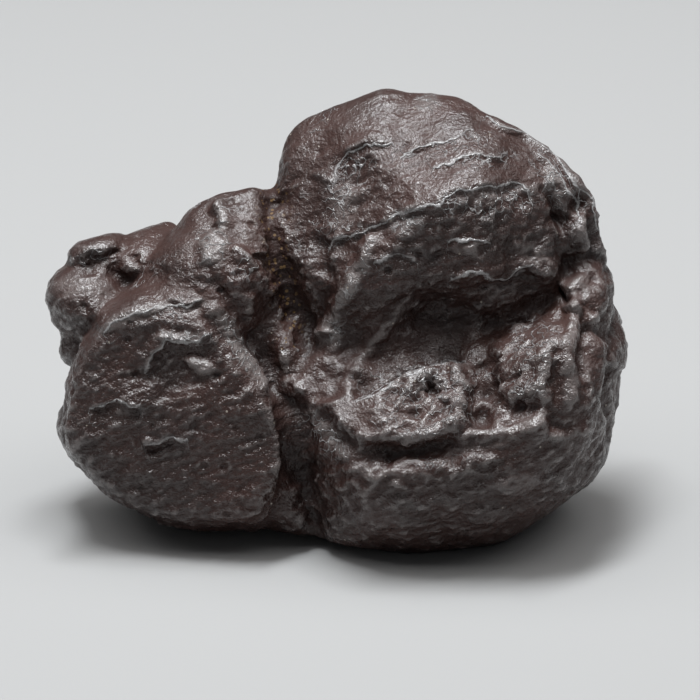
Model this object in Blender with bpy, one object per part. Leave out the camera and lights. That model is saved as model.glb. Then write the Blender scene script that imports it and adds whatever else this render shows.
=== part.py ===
"""Limonite concretion cluster: one natural stone of rounded nodules grown together.

A large nodule stands on the right with a shiny brow, a hollow under it and a shelf. A smaller one sits
on the left behind a deep crease, with a middle lobe and four knobs at its shoulder. The stone is solid
and it rests on the worn flat of its underside, at z = 0. The front faces -Y and +X is to the right.
"""

import bmesh
import bpy
import numpy as np

NAME = "concretion_cluster"

# All lengths in the tables are millimetres, and all angles are degrees.
MM = 0.001
TRIANGLES = 9400          # of the finished stone
VIEW_TILT = 24.0          # places in the tables are given as seen from the front, this far above level
VIEW_DISTANCE = 600.0
VIEW_MIDDLE = np.array([0.0, 0.0, 25.8])
PLAN_MIDDLE = np.array([-1.8, 1.9, 0.0])    # moved onto the object's origin at the end
REST_ROUNDING = 0.6       # radius between the worn flat and the sides
REST_TOLERANCE = 0.06     # points this near the floor belong to the worn flat

# Lumps: (across, up, out) of the middle in the front view, then the radii along X, Y and Z.
UPPER_LUMPS = [((8.3, 16.8, -5), (19.0, 19.0, 19.0)), ((23.7, 15.0, -8), (11.6, 15.0, 14.8))]
LOWER_LUMPS = [((15.4, -5.6, -3.5), (21.2, 21.0, 21.6)), ((4.1, -11.0, -2), (11.5, 16.0, 14.2))]
RIM_LUMPS = [((32.3, 1.4, -5), (5.5, 10.0, 12.0)), ((33.0, 7.2, 0), (4.0, 6.0, 4.5))]
LEFT_LUMPS = [((-24.5, -8.0, -3), (16.0, 18.0, 18.0)), ((-16.5, -10.0, -2.5), (11.0, 14.0, 13.5))]
MIDDLE_LOBE = ((-16.8, 10.4, -5), (12.0, 13.0, 12.3))
KNOBS = [
    ((-36.3, 6.9, -4), (6.2, 7.0, 5.2)),
    ((-35.2, 13.0, -5), (3.5, 5.5, 4.1)),
    ((-29.0, 13.4, -7), (4.9, 7.0, 4.4)),
    ((-38.4, 0.8, -7), (2.7, 4.5, 2.8)),
]
FILLETS = [
    ((-6.9, -14.4, -7), (5.5, 11.0, 7.0)),
    ((-9.2, 8.0, -6), (4.0, 8.0, 12.0)),
    ((-8.8, -2.5, -4), (4.2, 8.0, 9.0)),
]
CHEEK = ((24.0, -6.0, -2.5), (11.5, 17.5, 18.8))
HEEL = ((-3.4, -4.8, -1.5), (5.4, 9.5, 6.4))
HOLLOWS = [((14.5, 2.6, 12.0), (11.5, 8.5, 5.0)), ((24.5, 5.8, 10.5), (7.5, 6.5, 3.6))]

# Facets: a point on the facet in the front view, then the bearing and the rise of the way it faces (0 is
# the front, 90 the right), then the rounding at its edges.
UPPER_FACETS = [
    ((13.8, 20.7, 13.3), 2, 8, 0.8),      # front face under the brow
    ((13.8, 20.7, 13.3), -20, 58, 1.0),   # the first ledge behind the brow
    ((11.0, 28.9, 8.4), 5, 74, 2.5),      # the top
    ((0.0, 8.2, 9.9), -38, 34, 0.8),      # the triangle at the left of the front face
    ((-4.8, 18.6, 8.0), -62, 40, 3.0),    # left shoulder
    ((28.0, 22.0, 6.0), 52, 36, 1.0),     # right shoulder
    ((12.0, 29.0, -17.0), 170, 42, 2.5),  # back slope
]
LOWER_FACETS = [
    ((11.0, -11.5, 14.2), -8, 60, 1.0),   # the shelf
    ((-2.8, -11.0, 11.0), -52, -6, 2.5),
    ((13.8, -15.4, 14.5), 0, 2, 2.5),
]
CHEEK_FACETS = [
    ((25.5, -1.5, 12.6), -40, 24, 1.5),
    ((25.0, -12.5, 13.6), 8, 8, 3.0),
    ((34.4, -6.9, 5.0), 55, 0, 3.0),
]
BACK_FACETS = [
    ((24.0, 4.0, -20.5), 138, 16, 1.5),
    ((19.0, -6.0, -20.5), 165, -14, 1.5),
    ((8.0, 6.0, -23.0), 196, 6, 1.5),
    ((2.0, -8.0, -18.0), 216, -20, 2.0),
]
LEFT_FACETS = [
    ((-27.5, 5.2, 8.0), -8, 62, 1.0),
    ((-27.5, 5.0, 8.4), -6, 15, 1.2),
    ((-25.0, -13.0, 11.0), -5, 6, 4.0),
    ((-15.8, -0.3, 6.9), 55, 42, 0.5),
    ((-13.3, 0.6, 4.3), 105, 12, 0.8),
    ((-24.0, -2.0, -16.8), 172, 26, 1.2),
    ((-31.0, -8.0, -14.2), 205, -4, 1.5),
    ((-17.0, -13.0, -14.6), 168, -18, 1.5),
]
MIDDLE_FACETS = [
    ((-17.2, 12.7, 7.0), -5, 60, 1.5),
    ((-15.1, 6.9, 8.8), 0, 8, 1.5),
    ((-12.1, 15.1, 4.0), 55, 20, 2.0),
    ((-16.0, 14.0, -15.0), 180, 40, 2.0),
]

# The outline as seen from the front, (across, up), anticlockwise from the right-hand end.
OUTLINE = [
    (38.4, 2.1), (36.6, 6.2), (36.3, 10.2), (34.9, 13.8), (34.5, 18.3), (33.0, 22.3), (30.3, 25.4),
    (27.0, 28.2), (23.8, 30.5), (19.8, 32.2), (16.5, 34.1), (12.4, 35.6), (7.4, 35.3), (5.4, 36.6),
    (1.4, 35.1), (-2.1, 33.7), (-5.5, 32.5), (-8.2, 30.7), (-10.0, 26.8), (-10.5, 22.8), (-13.9, 22.4),
    (-16.6, 22.0), (-19.9, 20.9), (-22.3, 19.2), (-25.4, 17.6), (-29.2, 17.5), (-32.7, 16.2),
    (-34.9, 16.5), (-37.7, 15.4), (-39.1, 13.8), (-39.3, 12.1), (-41.2, 10.3), (-42.2, 7.6),
    (-41.8, 5.2), (-40.4, 3.4), (-40.6, 0.7), (-39.6, -1.7), (-38.8, -3.0), (-39.9, -6.1),
    (-40.7, -10.6), (-39.2, -14.4), (-36.2, -17.7), (-33.0, -20.8), (-29.4, -22.6), (-25.9, -24.3),
    (-21.3, -25.4), (-15.1, -25.2), (-10.3, -25.0), (-6.2, -25.4), (-2.1, -26.8), (1.1, -27.4),
    (6.9, -28.1), (11.4, -28.1), (15.1, -27.8), (19.2, -27.2), (23.0, -25.7), (26.1, -23.7),
    (30.0, -21.0), (33.4, -18.4), (35.5, -14.9), (36.4, -11.0), (37.0, -6.3), (38.0, -2.2),
]
OUTLINE_MIDDLE = np.array([-2.1, 2.1])

# Ledges, as seen from the front: the line of the edge from left to right, how far the ground above it
# stands proud, how far back that dies away, and how far the foot below it is sunk.
LEDGES = [
    ([(-2.3, 22.3), (-1.7, 24.8), (0.0, 27.0), (2.2, 27.9), (6.2, 27.8)], 0.45, 3.0, 0.3),
    ([(6.6, 26.7), (9.6, 27.5), (13.1, 28.6), (17.6, 30.0)], 0.40, 3.0, 0.15),
    ([(11.0, 25.0), (14.4, 26.1), (18.6, 26.7), (22.3, 26.7)], 0.30, 2.5, 0.1),
    ([(-4.1, 14.0), (-0.7, 15.1), (4.1, 17.1), (6.9, 18.7), (12.1, 19.8), (13.2, 21.0), (20.6, 22.6),
      (23.7, 22.8), (25.9, 19.0)], 0.65, 3.0, 0.25),
    ([(25.4, 27.5), (28.9, 24.1), (30.9, 19.9), (31.6, 17.2)], 0.4, 2.1, 0.4),
    ([(17.9, 32.0), (23.4, 30.0), (28.9, 26.4), (33.0, 20.6), (34.4, 15.8)], 0.6, 1.9, 0.4),
    ([(-34.4, 2.1), (-30.9, 4.3), (-27.5, 5.6), (-22.7, 5.8), (-19.9, 7.4)], 0.7, 2.2, 0.2),
    ([(-28.5, -3.6), (-27.2, -0.7), (-25.0, 1.4), (-22.2, 1.0), (-18.8, 1.8)], 1.2, 0.8, 0.2),
    ([(-28.9, -13.0), (-25.5, -12.2), (-22.0, -12.6)], 0.6, 2.0, 0.5),
    ([(-36.0, -8.6), (-32.0, -7.4), (-28.5, -8.0)], 0.5, 1.8, 0.5),
    ([(13.5, 9.6), (17.5, 10.6), (21.5, 9.8), (25.5, 12.0)], 0.6, 1.2, 0.3),
    ([(13.0, 14.6), (16.5, 15.2), (19.6, 14.6)], 0.5, 1.2, 0.2),
    ([(3.0, 12.0), (6.5, 12.8), (9.6, 12.4)], 0.5, 1.2, 0.2),
]
# Ridges, and grooves with a height below nought: the line, the height and the half-width.
RIDGES = [
    ([(3.9, 16.2), (0.6, 10.3), (-1.7, 5.5), (-3.4, 1.0)], 1.3, 1.3),
    ([(9.6, 8.2), (5.8, 4.0), (2.5, 0.3), (0.3, -3.4)], 0.8, 1.1),
    ([(-4.2, 15.6), (-3.6, 10.0), (-4.0, 4.0)], -0.8, 1.0),
    ([(28.2, 23.0), (29.0, 18.0)], -0.6, 0.8),
    ([(29.7, 10.3), (30.9, 6.9), (30.5, 2.8), (30.3, -4.1), (30.5, -8.3)], 1.0, 0.9),
    ([(33.3, 4.1), (32.3, 0.0), (31.6, -4.1)], -0.9, 0.8),
    ([(-16.8, 13.8), (-14.4, 12.7), (-13.1, 10.7), (-12.4, 8.9), (-10.3, 7.3)], 1.1, 0.8),
    ([(-18.2, 20.0), (-16.9, 17.2), (-17.6, 15.1)], 1.1, 0.9),
    ([(13.1, 8.2), (18.6, 6.9), (23.4, 7.4), (28.9, 8.5)], 0.9, 2.7),
    ([(-5.4, -5.6), (-5.0, -9.4), (-2.6, -11.8), (1.4, -13.3), (9.6, -12.8), (14.0, -11.5), (16.2, -9.0)],
     -3.4, 1.8),
    ([(-6.9, -8.0), (-4.1, -11.0), (-0.7, -14.6), (4.1, -16.8), (11.0, -16.2), (16.5, -14.9),
      (24.8, -11.8), (29.6, -10.2)], 0.4, 1.3),
    ([(3.4, -6.2), (4.1, -8.9), (5.8, -11.3), (11.0, -11.0), (14.6, -10.0), (15.8, -4.8)], 0.6, 0.9),
    ([(7.2, -6.0), (8.6, -4.0), (11.0, -3.4), (13.4, -5.0), (13.8, -8.2)], 0.7, 0.8),
    ([(28.9, 6.9), (31.6, 8.2), (34.4, 10.3)], -1.0, 1.0),
    ([(28.6, 1.4), (28.6, -5.5), (28.3, -12.0)], -1.4, 1.1),
    ([(36.0, 2.1), (34.4, -1.4), (33.0, -6.9), (31.9, -12.4)], 1.0, 1.2),
    ([(-20.9, 8.0), (-17.6, 3.4), (-13.8, -2.1), (-9.4, -8.0)], 0.5, 1.2),
    ([(27.2, 23.0), (29.6, 17.2), (30.6, 12.4), (29.2, 8.3), (26.1, 6.2), (21.0, 3.6), (16.5, 2.8)], -1.9, 1.3),
    ([(-19.9, 10.3), (-16.5, 6.9), (-12.4, 0.7), (-8.9, -6.2)], -0.7, 1.1),
    ([(-10.3, 22.7), (-10.7, 17.9), (-9.6, 12.4), (-8.5, 6.9), (-8.1, 2.8)], -1.2, 1.2),
    ([(-8.2, -6.2), (-8.0, -11.0), (-6.6, -17.9), (-5.0, -25.4)], -2.0, 1.1),
]
# Bumps, and dents with a height below nought: the middle, the half-sizes, the turn and the height.
BUMPS = [
    ((-2.3, 1.7), (1.5, 1.7), 20, 0.8),
    ((0.7, 24.6), (2.6, 2.2), 0, -0.6),
    ((20.0, -9.4), (5.0, 2.0), 10, -0.9),
    ((9.6, -5.0), (1.5, 0.9), 20, -0.7),
    ((17.4, -5.2), (1.6, 3.6), -20, -1.0),
    ((24.0, -5.4), (2.6, 1.4), 20, 0.8),
    ((24.6, -10.2), (1.7, 0.8), 10, 0.7),
    ((-26.1, -11.0), (11.0, 6.8), 0, 0.7),
    ((-23.4, -2.7), (5.0, 3.2), 15, -0.8),
    ((20.6, 8.5), (2.2, 1.0), 5, 0.5),
    ((26.8, 11.0), (2.2, 1.1), -20, 0.5),
    ((22.7, -18.3), (3.0, 1.4), 8, 0.9),
    ((27.9, -18.2), (1.7, 1.1), 20, 0.6),
    ((10.3, -20.9), (4.8, 1.0), 5, 0.6),
    ((19.2, -22.7), (3.9, 1.1), 0, 0.6),
    ((28.5, 23.0), (1.0, 2.4), 20, 0.7),
    ((31.9, 20.0), (1.0, 1.4), 0, -1.6),
    ((32.2, 16.4), (0.9, 1.8), 0, 0.7),
    ((33.6, 15.5), (0.5, 3.0), 0, -1.0),
    ((35.2, 13.8), (0.9, 2.3), 10, 0.8),
    ((31.6, 8.7), (1.7, 1.6), 0, 0.9),
    ((30.7, 5.8), (1.5, 1.0), -30, 0.8),
    ((33.3, 4.4), (1.0, 1.0), 0, 0.5),
    ((-18.8, 13.8), (1.9, 2.2), -30, 1.2),
    ((16.5, 14.2), (1.7, 0.7), 10, 0.6),
    ((-20.9, -2.2), (2.1, 0.8), -15, 0.8),
    ((-8.0, -5.0), (1.2, 1.1), 0, 1.2),
    ((-6.9, -13.8), (1.4, 1.8), 15, 1.2),
    ((-3.4, -4.4), (2.8, 2.2), 30, -1.2),
    ((-35.1, 12.0), (2.2, 1.2), 10, -1.4),
    ((-32.6, 13.5), (0.7, 0.6), 0, -0.5),
    ((-29.7, 12.6), (0.5, 1.0), 40, -0.7),
]
# Strokes on the back and the two ends: the bearing that the side faces, then its ledges, ridges and bumps.
OTHER_SIDES = [
    (
        180,
        [
            ([(-30, 10), (-22, 14), (-12, 13), (-2, 9)], 0.9, 2.6, 0.4),
            ([(-34, -6), (-26, -3), (-16, -5), (-8, -9)], 0.8, 2.2, 0.4),
            ([(-28, 24), (-18, 27), (-10, 25)], 0.6, 3.0, 0.3),
            ([(12, 3), (20, 6), (28, 2)], 0.7, 2.2, 0.4),
        ],
        [
            ([(9, 20), (8, 10), (9, 0), (7, -10), (8, -22)], -1.4, 1.5),
            ([(-24, 22), (-27, 10), (-26, 0), (-29, -10)], 0.9, 1.6),
            ([(-14, 20), (-15, 8), (-10, -4), (-12, -16)], -1.0, 1.7),
        ],
        [
            ((-20, 6), (5.0, 4.0), 20, -1.5),
            ((-6, 17), (4.0, 3.0), -10, -1.1),
            ((-28, -12), (5.0, 3.5), 10, -1.3),
            ((-13, -13), (4.5, 3.0), 0, -1.0),
            ((24, -8), (5.0, 4.0), 0, -1.4),
            ((-34, 2), (3.0, 4.0), 0, 1.0),
            ((-3, -14), (3.0, 2.4), 0, 1.1),
            ((16, 11), (3.0, 2.5), 0, 0.9),
            ((17, -17), (3.0, 2.0), 10, 1.0),
        ],
    ),
    (
        90,
        [([(-12, 12), (-4, 15), (6, 12)], 0.7, 2.2, 0.4), ([(-14, -4), (-4, -1), (8, -5)], 0.7, 2.0, 0.4)],
        [([(12, 18), (14, 6), (10, -6)], 0.8, 1.4), ([(-3, 8), (-6, -4), (-2, -15)], -0.9, 1.3)],
        [((1, 4), (5.0, 3.5), 0, -1.2), ((-9, -12), (4.0, 3.0), 0, -1.0), ((9, -9), (3.5, 3.0), 0, -0.9)],
    ),
    (
        270,
        [([(-10, -2), (0, 1), (9, -3)], 0.7, 2.0, 0.4)],
        [([(-4, 4), (-7, -6), (-3, -16)], 0.8, 1.3)],
        [((3, -9), (4.0, 3.5), 0, -1.1), ((-11, -8), (2.5, 3.0), 0, 0.8)],
    ),
]
LEDGE_CRISPNESS = 0.5
WANDER = 0.6              # how far a stroke strays from its line
SWELL = 0.5               # height of the slow swells all over the stone
SWELL_SIZE = 11.0
WEAR_ROUNDS = 2           # of smoothing, which wears the edges


# Directions and places of the front view

TILT = np.radians(VIEW_TILT)
ACROSS = np.array([1.0, 0.0, 0.0])
UP = np.array([0.0, np.sin(TILT), np.cos(TILT)])
OUT = np.array([0.0, -np.cos(TILT), np.sin(TILT)])


def place(across, up, out):
    """The point that the front view shows at (across, up), standing out by `out` towards the viewer."""
    near = 1 - out / VIEW_DISTANCE
    return VIEW_MIDDLE + across * near * ACROSS + up * near * UP + out * OUT


def seen(points):
    """(across, up, out) of each point in the front view."""
    away = points - VIEW_MIDDLE
    out = away @ OUT
    near = 1 - out / VIEW_DISTANCE
    return (away @ ACROSS) / near, (away @ UP) / near, out


def facing(bearing, rise):
    turn, tilt = np.radians([bearing, rise])
    return np.array([np.sin(turn) * np.cos(tilt), -np.cos(turn) * np.cos(tilt), np.sin(tilt)])


# The body of the stone, as a field that is below nought inside

def join(first, second, rounding):
    share = np.clip(0.5 + 0.5 * (second - first) / rounding, 0, 1)
    return second + (first - second) * share - rounding * share * (1 - share)


def cut(first, second, rounding):
    return -join(-first, -second, rounding)


def lump(points, middle, radii):
    """About the distance from an ellipsoid, below nought inside it."""
    away = points - place(*middle)
    radii = np.array(radii)
    near = np.sqrt(((away / radii) ** 2).sum(axis=1))
    steep = np.sqrt(((away / radii ** 2) ** 2).sum(axis=1))
    return near * (near - 1) / np.maximum(steep, 1e-9)


def faceted(points, field, facets):
    for at, bearing, rise, rounding in facets:
        field = cut(field, (points - place(*at)) @ facing(bearing, rise), rounding)
    return field


def stone(points):
    upper = join(lump(points, *UPPER_LUMPS[0]), lump(points, *UPPER_LUMPS[1]), 4.0)
    upper = faceted(points, upper, UPPER_FACETS)
    lower = join(lump(points, *LOWER_LUMPS[0]), lump(points, *LOWER_LUMPS[1]), 5.0)
    lower = faceted(points, lower, LOWER_FACETS)
    lower = join(lower, faceted(points, lump(points, *CHEEK), CHEEK_FACETS), 2.0)
    lower = join(lower, lump(points, *HEEL), 1.5)
    right = faceted(points, join(upper, lower, 4.0), BACK_FACETS)
    for hollow in HOLLOWS:
        right = cut(right, -lump(points, *hollow), 2.5)
    right = join(right, lump(points, *RIM_LUMPS[0]), 3.0)
    right = join(right, lump(points, *RIM_LUMPS[1]), 2.0)
    nodule = join(lump(points, *LEFT_LUMPS[0]), lump(points, *LEFT_LUMPS[1]), 4.0)
    nodule = faceted(points, nodule, LEFT_FACETS)
    lobe = faceted(points, lump(points, *MIDDLE_LOBE), MIDDLE_FACETS)
    left = join(nodule, lobe, 3.0)
    for knob in KNOBS:
        left = join(left, lump(points, *knob), 1.0)
    whole = join(right, left, 1.8)
    for fillet in FILLETS:
        whole = join(whole, lump(points, *fillet), 2.0)
    return cut(whole, -points[:, 2], REST_ROUNDING)


def slope(points, step=0.05):
    corners = np.array([[1, -1, -1], [-1, -1, 1], [-1, 1, -1], [1, 1, 1]], float)
    total = np.zeros_like(points)
    for corner in corners:
        total += corner * stone(points + step * corner)[:, None]
    return total / (4 * step)


def settled(points, steps):
    """The points moved down the field's slope onto the stone's surface."""
    for _ in range(steps):
        grade = slope(points)
        steep = np.maximum((grade ** 2).sum(axis=1), 0.25)
        points = points - (np.clip(stone(points), -3, 3) / steep)[:, None] * grade
    return points


def relaxed(points, edges, rounds):
    """The points spread evenly over the surface: each goes half way to the mean of its neighbours."""
    first, second = edges.T
    count = len(points)
    near = np.bincount(first, minlength=count) + np.bincount(second, minlength=count)
    for _ in range(rounds):
        total = np.empty_like(points)
        for axis in range(3):
            total[:, axis] = np.bincount(first, points[second, axis], count)
            total[:, axis] += np.bincount(second, points[first, axis], count)
        move = total / near[:, None] - points
        way = slope(points)
        way /= np.linalg.norm(way, axis=1, keepdims=True)
        move -= (move * way).sum(axis=1, keepdims=True) * way
        points = settled(points + 0.5 * move, 1)
    return points


# The outline and the relief

def fitted(points):
    """The points with the outline of the front view slid onto OUTLINE, and less so further in."""
    across, up, out = seen(points)
    x, y = across - OUTLINE_MIDDLE[0], up - OUTLINE_MIDDLE[1]
    reach, bearing = np.hypot(x, y), np.arctan2(y, x)
    corners = np.array(OUTLINE + OUTLINE[:1])
    along = np.linspace(0, len(corners) - 1, 40 * len(corners))
    edge_x = np.interp(along, np.arange(len(corners)), corners[:, 0]) - OUTLINE_MIDDLE[0]
    edge_y = np.interp(along, np.arange(len(corners)), corners[:, 1]) - OUTLINE_MIDDLE[1]
    edge_bearing, edge_reach = np.arctan2(edge_y, edge_x), np.hypot(edge_x, edge_y)
    order = np.argsort(edge_bearing)
    sectors = 120
    sector = np.floor((bearing + np.pi) / (2 * np.pi) * sectors).astype(int) % sectors
    found = np.zeros(sectors)
    np.maximum.at(found, sector, reach)
    middles = (np.arange(sectors) + 0.5) / sectors * 2 * np.pi - np.pi
    wanted = np.interp(middles, edge_bearing[order], edge_reach[order], period=2 * np.pi)
    ratio = wanted / found
    for _ in range(2):
        ratio = (np.roll(ratio, 1) + 2 * ratio + np.roll(ratio, -1)) / 4
    limit = np.interp(bearing, middles, found, period=2 * np.pi)
    change = np.interp(bearing, middles, ratio, period=2 * np.pi) - 1
    grow = 1 + change * np.clip(reach / limit, 0, 1) ** 3
    near = 1 - out / VIEW_DISTANCE
    moved = VIEW_MIDDLE + ((OUTLINE_MIDDLE[0] + x * grow) * near)[:, None] * ACROSS
    moved += ((OUTLINE_MIDDLE[1] + y * grow) * near)[:, None] * UP + out[:, None] * OUT
    moved[points[:, 2] < 0.05, 2] = 0
    moved[:, 2] = np.maximum(moved[:, 2], 0)
    return moved


def ramp(low, high, value):
    t = np.clip((value - low) / (high - low), 0, 1)
    return t * t * (3 - 2 * t)


def beside(x, y, line):
    """How far each point is from the line, above nought on its upper side, and how far along it, 0 to 1."""
    line = np.array(line, float)
    lengths = np.linalg.norm(np.diff(line, axis=0), axis=1)
    best, side, run = np.full(x.shape, 1e9), np.zeros(x.shape), np.zeros(x.shape)
    done = 0.0
    for start, end, length in zip(line[:-1], line[1:], lengths):
        way = (end - start) / length
        t = np.clip((x - start[0]) * way[0] + (y - start[1]) * way[1], 0, length)
        dx, dy = x - (start[0] + t * way[0]), y - (start[1] + t * way[1])
        apart = np.hypot(dx, dy)
        nearer = apart < best
        best = np.where(nearer, apart, best)
        side = np.where(nearer, np.sign(way[0] * dy - way[1] * dx), side)
        run = np.where(nearer, (done + t) / lengths.sum(), run)
        done += length
    return best * side, run


def ledge(x, y, line, height, reach, foot):
    apart, run = beside(x, y, line)
    above = ramp(-LEDGE_CRISPNESS, LEDGE_CRISPNESS, apart)
    proud = height * above * np.exp(-np.maximum(apart, 0) / reach)
    sunk = foot * (1 - above) * np.exp(-np.maximum(-apart - LEDGE_CRISPNESS, 0) / reach)
    return (proud - sunk) * ramp(0, 0.12, run) * ramp(0, 0.12, 1 - run)


def ridge(x, y, line, height, width):
    apart, run = beside(x, y, line)
    return height * np.exp(-((apart / width) ** 2)) * ramp(0, 0.1, run) * ramp(0, 0.1, 1 - run)


def bump(x, y, middle, sizes, turn, height):
    c, s = np.cos(np.radians(turn)), np.sin(np.radians(turn))
    dx, dy = x - middle[0], y - middle[1]
    far = np.hypot((dx * c + dy * s) / sizes[0], (dy * c - dx * s) / sizes[1])
    return height * (1 - ramp(0.5, 1.5, far))


def hashed(cells, seed):
    """A number from -1 to 1 for each whole-numbered cell, always the same one."""
    mixed = cells[:, 0] * 73856093 ^ cells[:, 1] * 19349663 ^ cells[:, 2] * 83492791 ^ seed * 26544357
    mixed = (mixed ^ (mixed >> 13)) * 1274126177
    return ((mixed ^ (mixed >> 16)) & 0xFFFFFFFF) / 2147483647.5 - 1


def swells(points, size, seed):
    """Smooth hills and hollows of about this size, from -1 to 1."""
    scaled = points / size
    cells = np.floor(scaled).astype(np.int64)
    part = scaled - cells
    blend = part ** 3 * (part * (part * 6 - 15) + 10)
    total = np.zeros(len(points))
    for dx in (0, 1):
        for dy in (0, 1):
            for dz in (0, 1):
                corner = np.array([dx, dy, dz])
                pull = sum(hashed(cells + corner, seed + 101 * i) * (part[:, i] - corner[i]) for i in range(3))
                weight = np.where(corner == 1, blend, 1 - blend).prod(axis=1)
                total += pull * weight
    return 1.6 * total


def normals_of(points, faces):
    corners = points[faces]
    normal = np.cross(corners[:, 1] - corners[:, 0], corners[:, 2] - corners[:, 0])
    total = np.zeros_like(points)
    for corner in range(3):
        for axis in range(3):
            total[:, axis] += np.bincount(faces[:, corner], normal[:, axis], len(points))
    return total / np.linalg.norm(total, axis=1, keepdims=True)


def smoothed(points, edges, rounds):
    """The points eased half way to the mean of their neighbours, with those on the floor kept there."""
    first, second = edges.T
    count = len(points)
    near = np.bincount(first, minlength=count) + np.bincount(second, minlength=count)
    for _ in range(rounds):
        total = np.empty_like(points)
        for axis in range(3):
            total[:, axis] = np.bincount(first, points[second, axis], count)
            total[:, axis] += np.bincount(second, points[first, axis], count)
        points = (points + total / near[:, None]) / 2
    return points


def strokes(x, y, ledges, ridges, bumps):
    height = np.zeros(x.shape)
    for entry in ledges:
        height += ledge(x, y, *entry)
    for entry in ridges:
        height += ridge(x, y, *entry)
    for entry in bumps:
        height += bump(x, y, *entry)
    return height


def terraces(points):
    """Broken layers: a step up wherever one of two slow noises passes nought, and a broad swell."""
    first = ramp(-0.07, 0.07, swells(points, 10.0, 301))
    second = ramp(-0.09, 0.09, swells(points / [1.0, 1.0, 0.7], 6.0, 302))
    broad = swells(points, 16.0, 311)
    return (1.0 * first + 0.5 * second + 1.6 * broad - 0.75) * ramp(0, 3.0, points[:, 2])


def carved(points, normals):
    """The points raised and sunk along their normals by the strokes, the terraces and the slow swells."""
    x, y, out = seen(points)
    x = x + WANDER * swells(points, 2.6, 201)
    y = y + WANDER * swells(points, 2.6, 211)
    height = strokes(x, y, LEDGES, RIDGES, BUMPS) * ramp(0.0, 0.35, normals @ OUT)
    away = points - VIEW_MIDDLE
    for bearing, ledges, ridges, bumps in OTHER_SIDES:
        right = facing(bearing + 90, 0)
        x = away @ right + 2 * WANDER * swells(points, 4.0, 201)
        y = away[:, 2] + 2 * WANDER * swells(points, 4.0, 211)
        height += strokes(x, y, ledges, ridges, bumps) * ramp(0.45, 0.75, normals @ facing(bearing, 0))
    height += ramp(2.0, 14.0, -out) * terraces(points)
    swell = (swells(points, SWELL_SIZE, 3) + 0.5 * swells(points, SWELL_SIZE / 2, 20)) * SWELL
    height += swell * ramp(0, 3.0, points[:, 2])
    moved = points + normals * height[:, None]
    moved[points[:, 2] < 0.02, 2] = 0
    moved[:, 2] = np.maximum(moved[:, 2], 0)
    return moved


# Blender's side of it

def arrays_of(bm):
    bm.verts.ensure_lookup_table()
    bm.verts.index_update()
    points = np.array([vert.co for vert in bm.verts])
    edges = np.array([[vert.index for vert in edge.verts] for edge in bm.edges])
    faces = np.array([[vert.index for vert in face.verts] for face in bm.faces])
    return points, edges, faces


def put(bm, points):
    for vert, co in zip(bm.verts, points.tolist()):
        vert.co = co


def build_stone():
    bm = bmesh.new()
    bmesh.ops.create_icosphere(bm, subdivisions=4, radius=1.0)
    points, edges, _ = arrays_of(bm)
    put(bm, points * [45.0, 32.0, 36.0] + [-2.0, 2.0, 28.0])
    for rounds in (30, 15, 10, 6):
        points, edges, faces = arrays_of(bm)
        points = relaxed(settled(points, 4), edges, rounds)
        put(bm, points)
        if len(points) < 40000:
            bmesh.ops.subdivide_edges(bm, edges=bm.edges[:], cuts=1, use_grid_fill=True)
    points = fitted(points)
    normals = smoothed(normals_of(points, faces), edges, 3)
    points = carved(points, normals)
    points = smoothed(points, edges, WEAR_ROUNDS)
    points = fitted(points)
    put(bm, (points - PLAN_MIDDLE) * MM)
    mesh = bpy.data.meshes.new(NAME)
    bm.to_mesh(mesh)
    bm.free()
    return mesh


def thin_out(stone_object):
    """Leaves TRIANGLES faces, most of them where the surface bends, and keeps the thinner mesh."""
    thinner = stone_object.modifiers.new("fewer faces", "DECIMATE")
    thinner.decimate_type = "COLLAPSE"
    thinner.use_collapse_triangulate = True
    thinner.ratio = TRIANGLES / len(stone_object.data.polygons)
    graph = bpy.context.evaluated_depsgraph_get()
    thin = bpy.data.meshes.new_from_object(stone_object.evaluated_get(graph), depsgraph=graph)
    full = stone_object.data
    stone_object.modifiers.clear()
    stone_object.data = thin
    bpy.data.meshes.remove(full)
    thin.name = NAME


def level_rest(stone_object):
    """Makes the worn flat under the stone exactly level, at z = 0."""
    for vert in stone_object.data.vertices:
        if vert.co.z < REST_TOLERANCE * MM:
            vert.co.z = 0.0


def main():
    for old in list(bpy.data.objects):
        bpy.data.objects.remove(old)
    collection = bpy.data.collections.new("limonite concretion cluster")
    bpy.context.scene.collection.children.link(collection)

    mesh = build_stone()
    stone_object = bpy.data.objects.new(NAME, mesh)
    collection.objects.link(stone_object)

    limonite = bpy.data.materials.new("limonite")
    limonite.use_nodes = True
    surface = limonite.node_tree.nodes["Principled BSDF"]
    surface.inputs["Base Color"].default_value = (0.060, 0.040, 0.034, 1.0)
    surface.inputs["Roughness"].default_value = 0.45
    surface.inputs["Metallic"].default_value = 0.0
    mesh.materials.append(limonite)

    thin_out(stone_object)
    level_rest(stone_object)


main()
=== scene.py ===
# %% [markdown]
# # A limonite concretion cluster
#
# Limonite is rust that has turned to stone. Iron-rich water seeps through sand or clay, and its iron
# settles in rounded nodules that grow until they touch and join. This one is a hand-sized cluster: a large
# nodule on the right with a glossy brow, a hollow under it and a shelf, a smaller nodule on the left, a
# middle lobe behind it and four knobs at its shoulder. Handling has left a dark, waxy gloss on it.
#
# The solid model gives the stone's place, size and weight. This lesson makes the surface that is seen.

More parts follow.
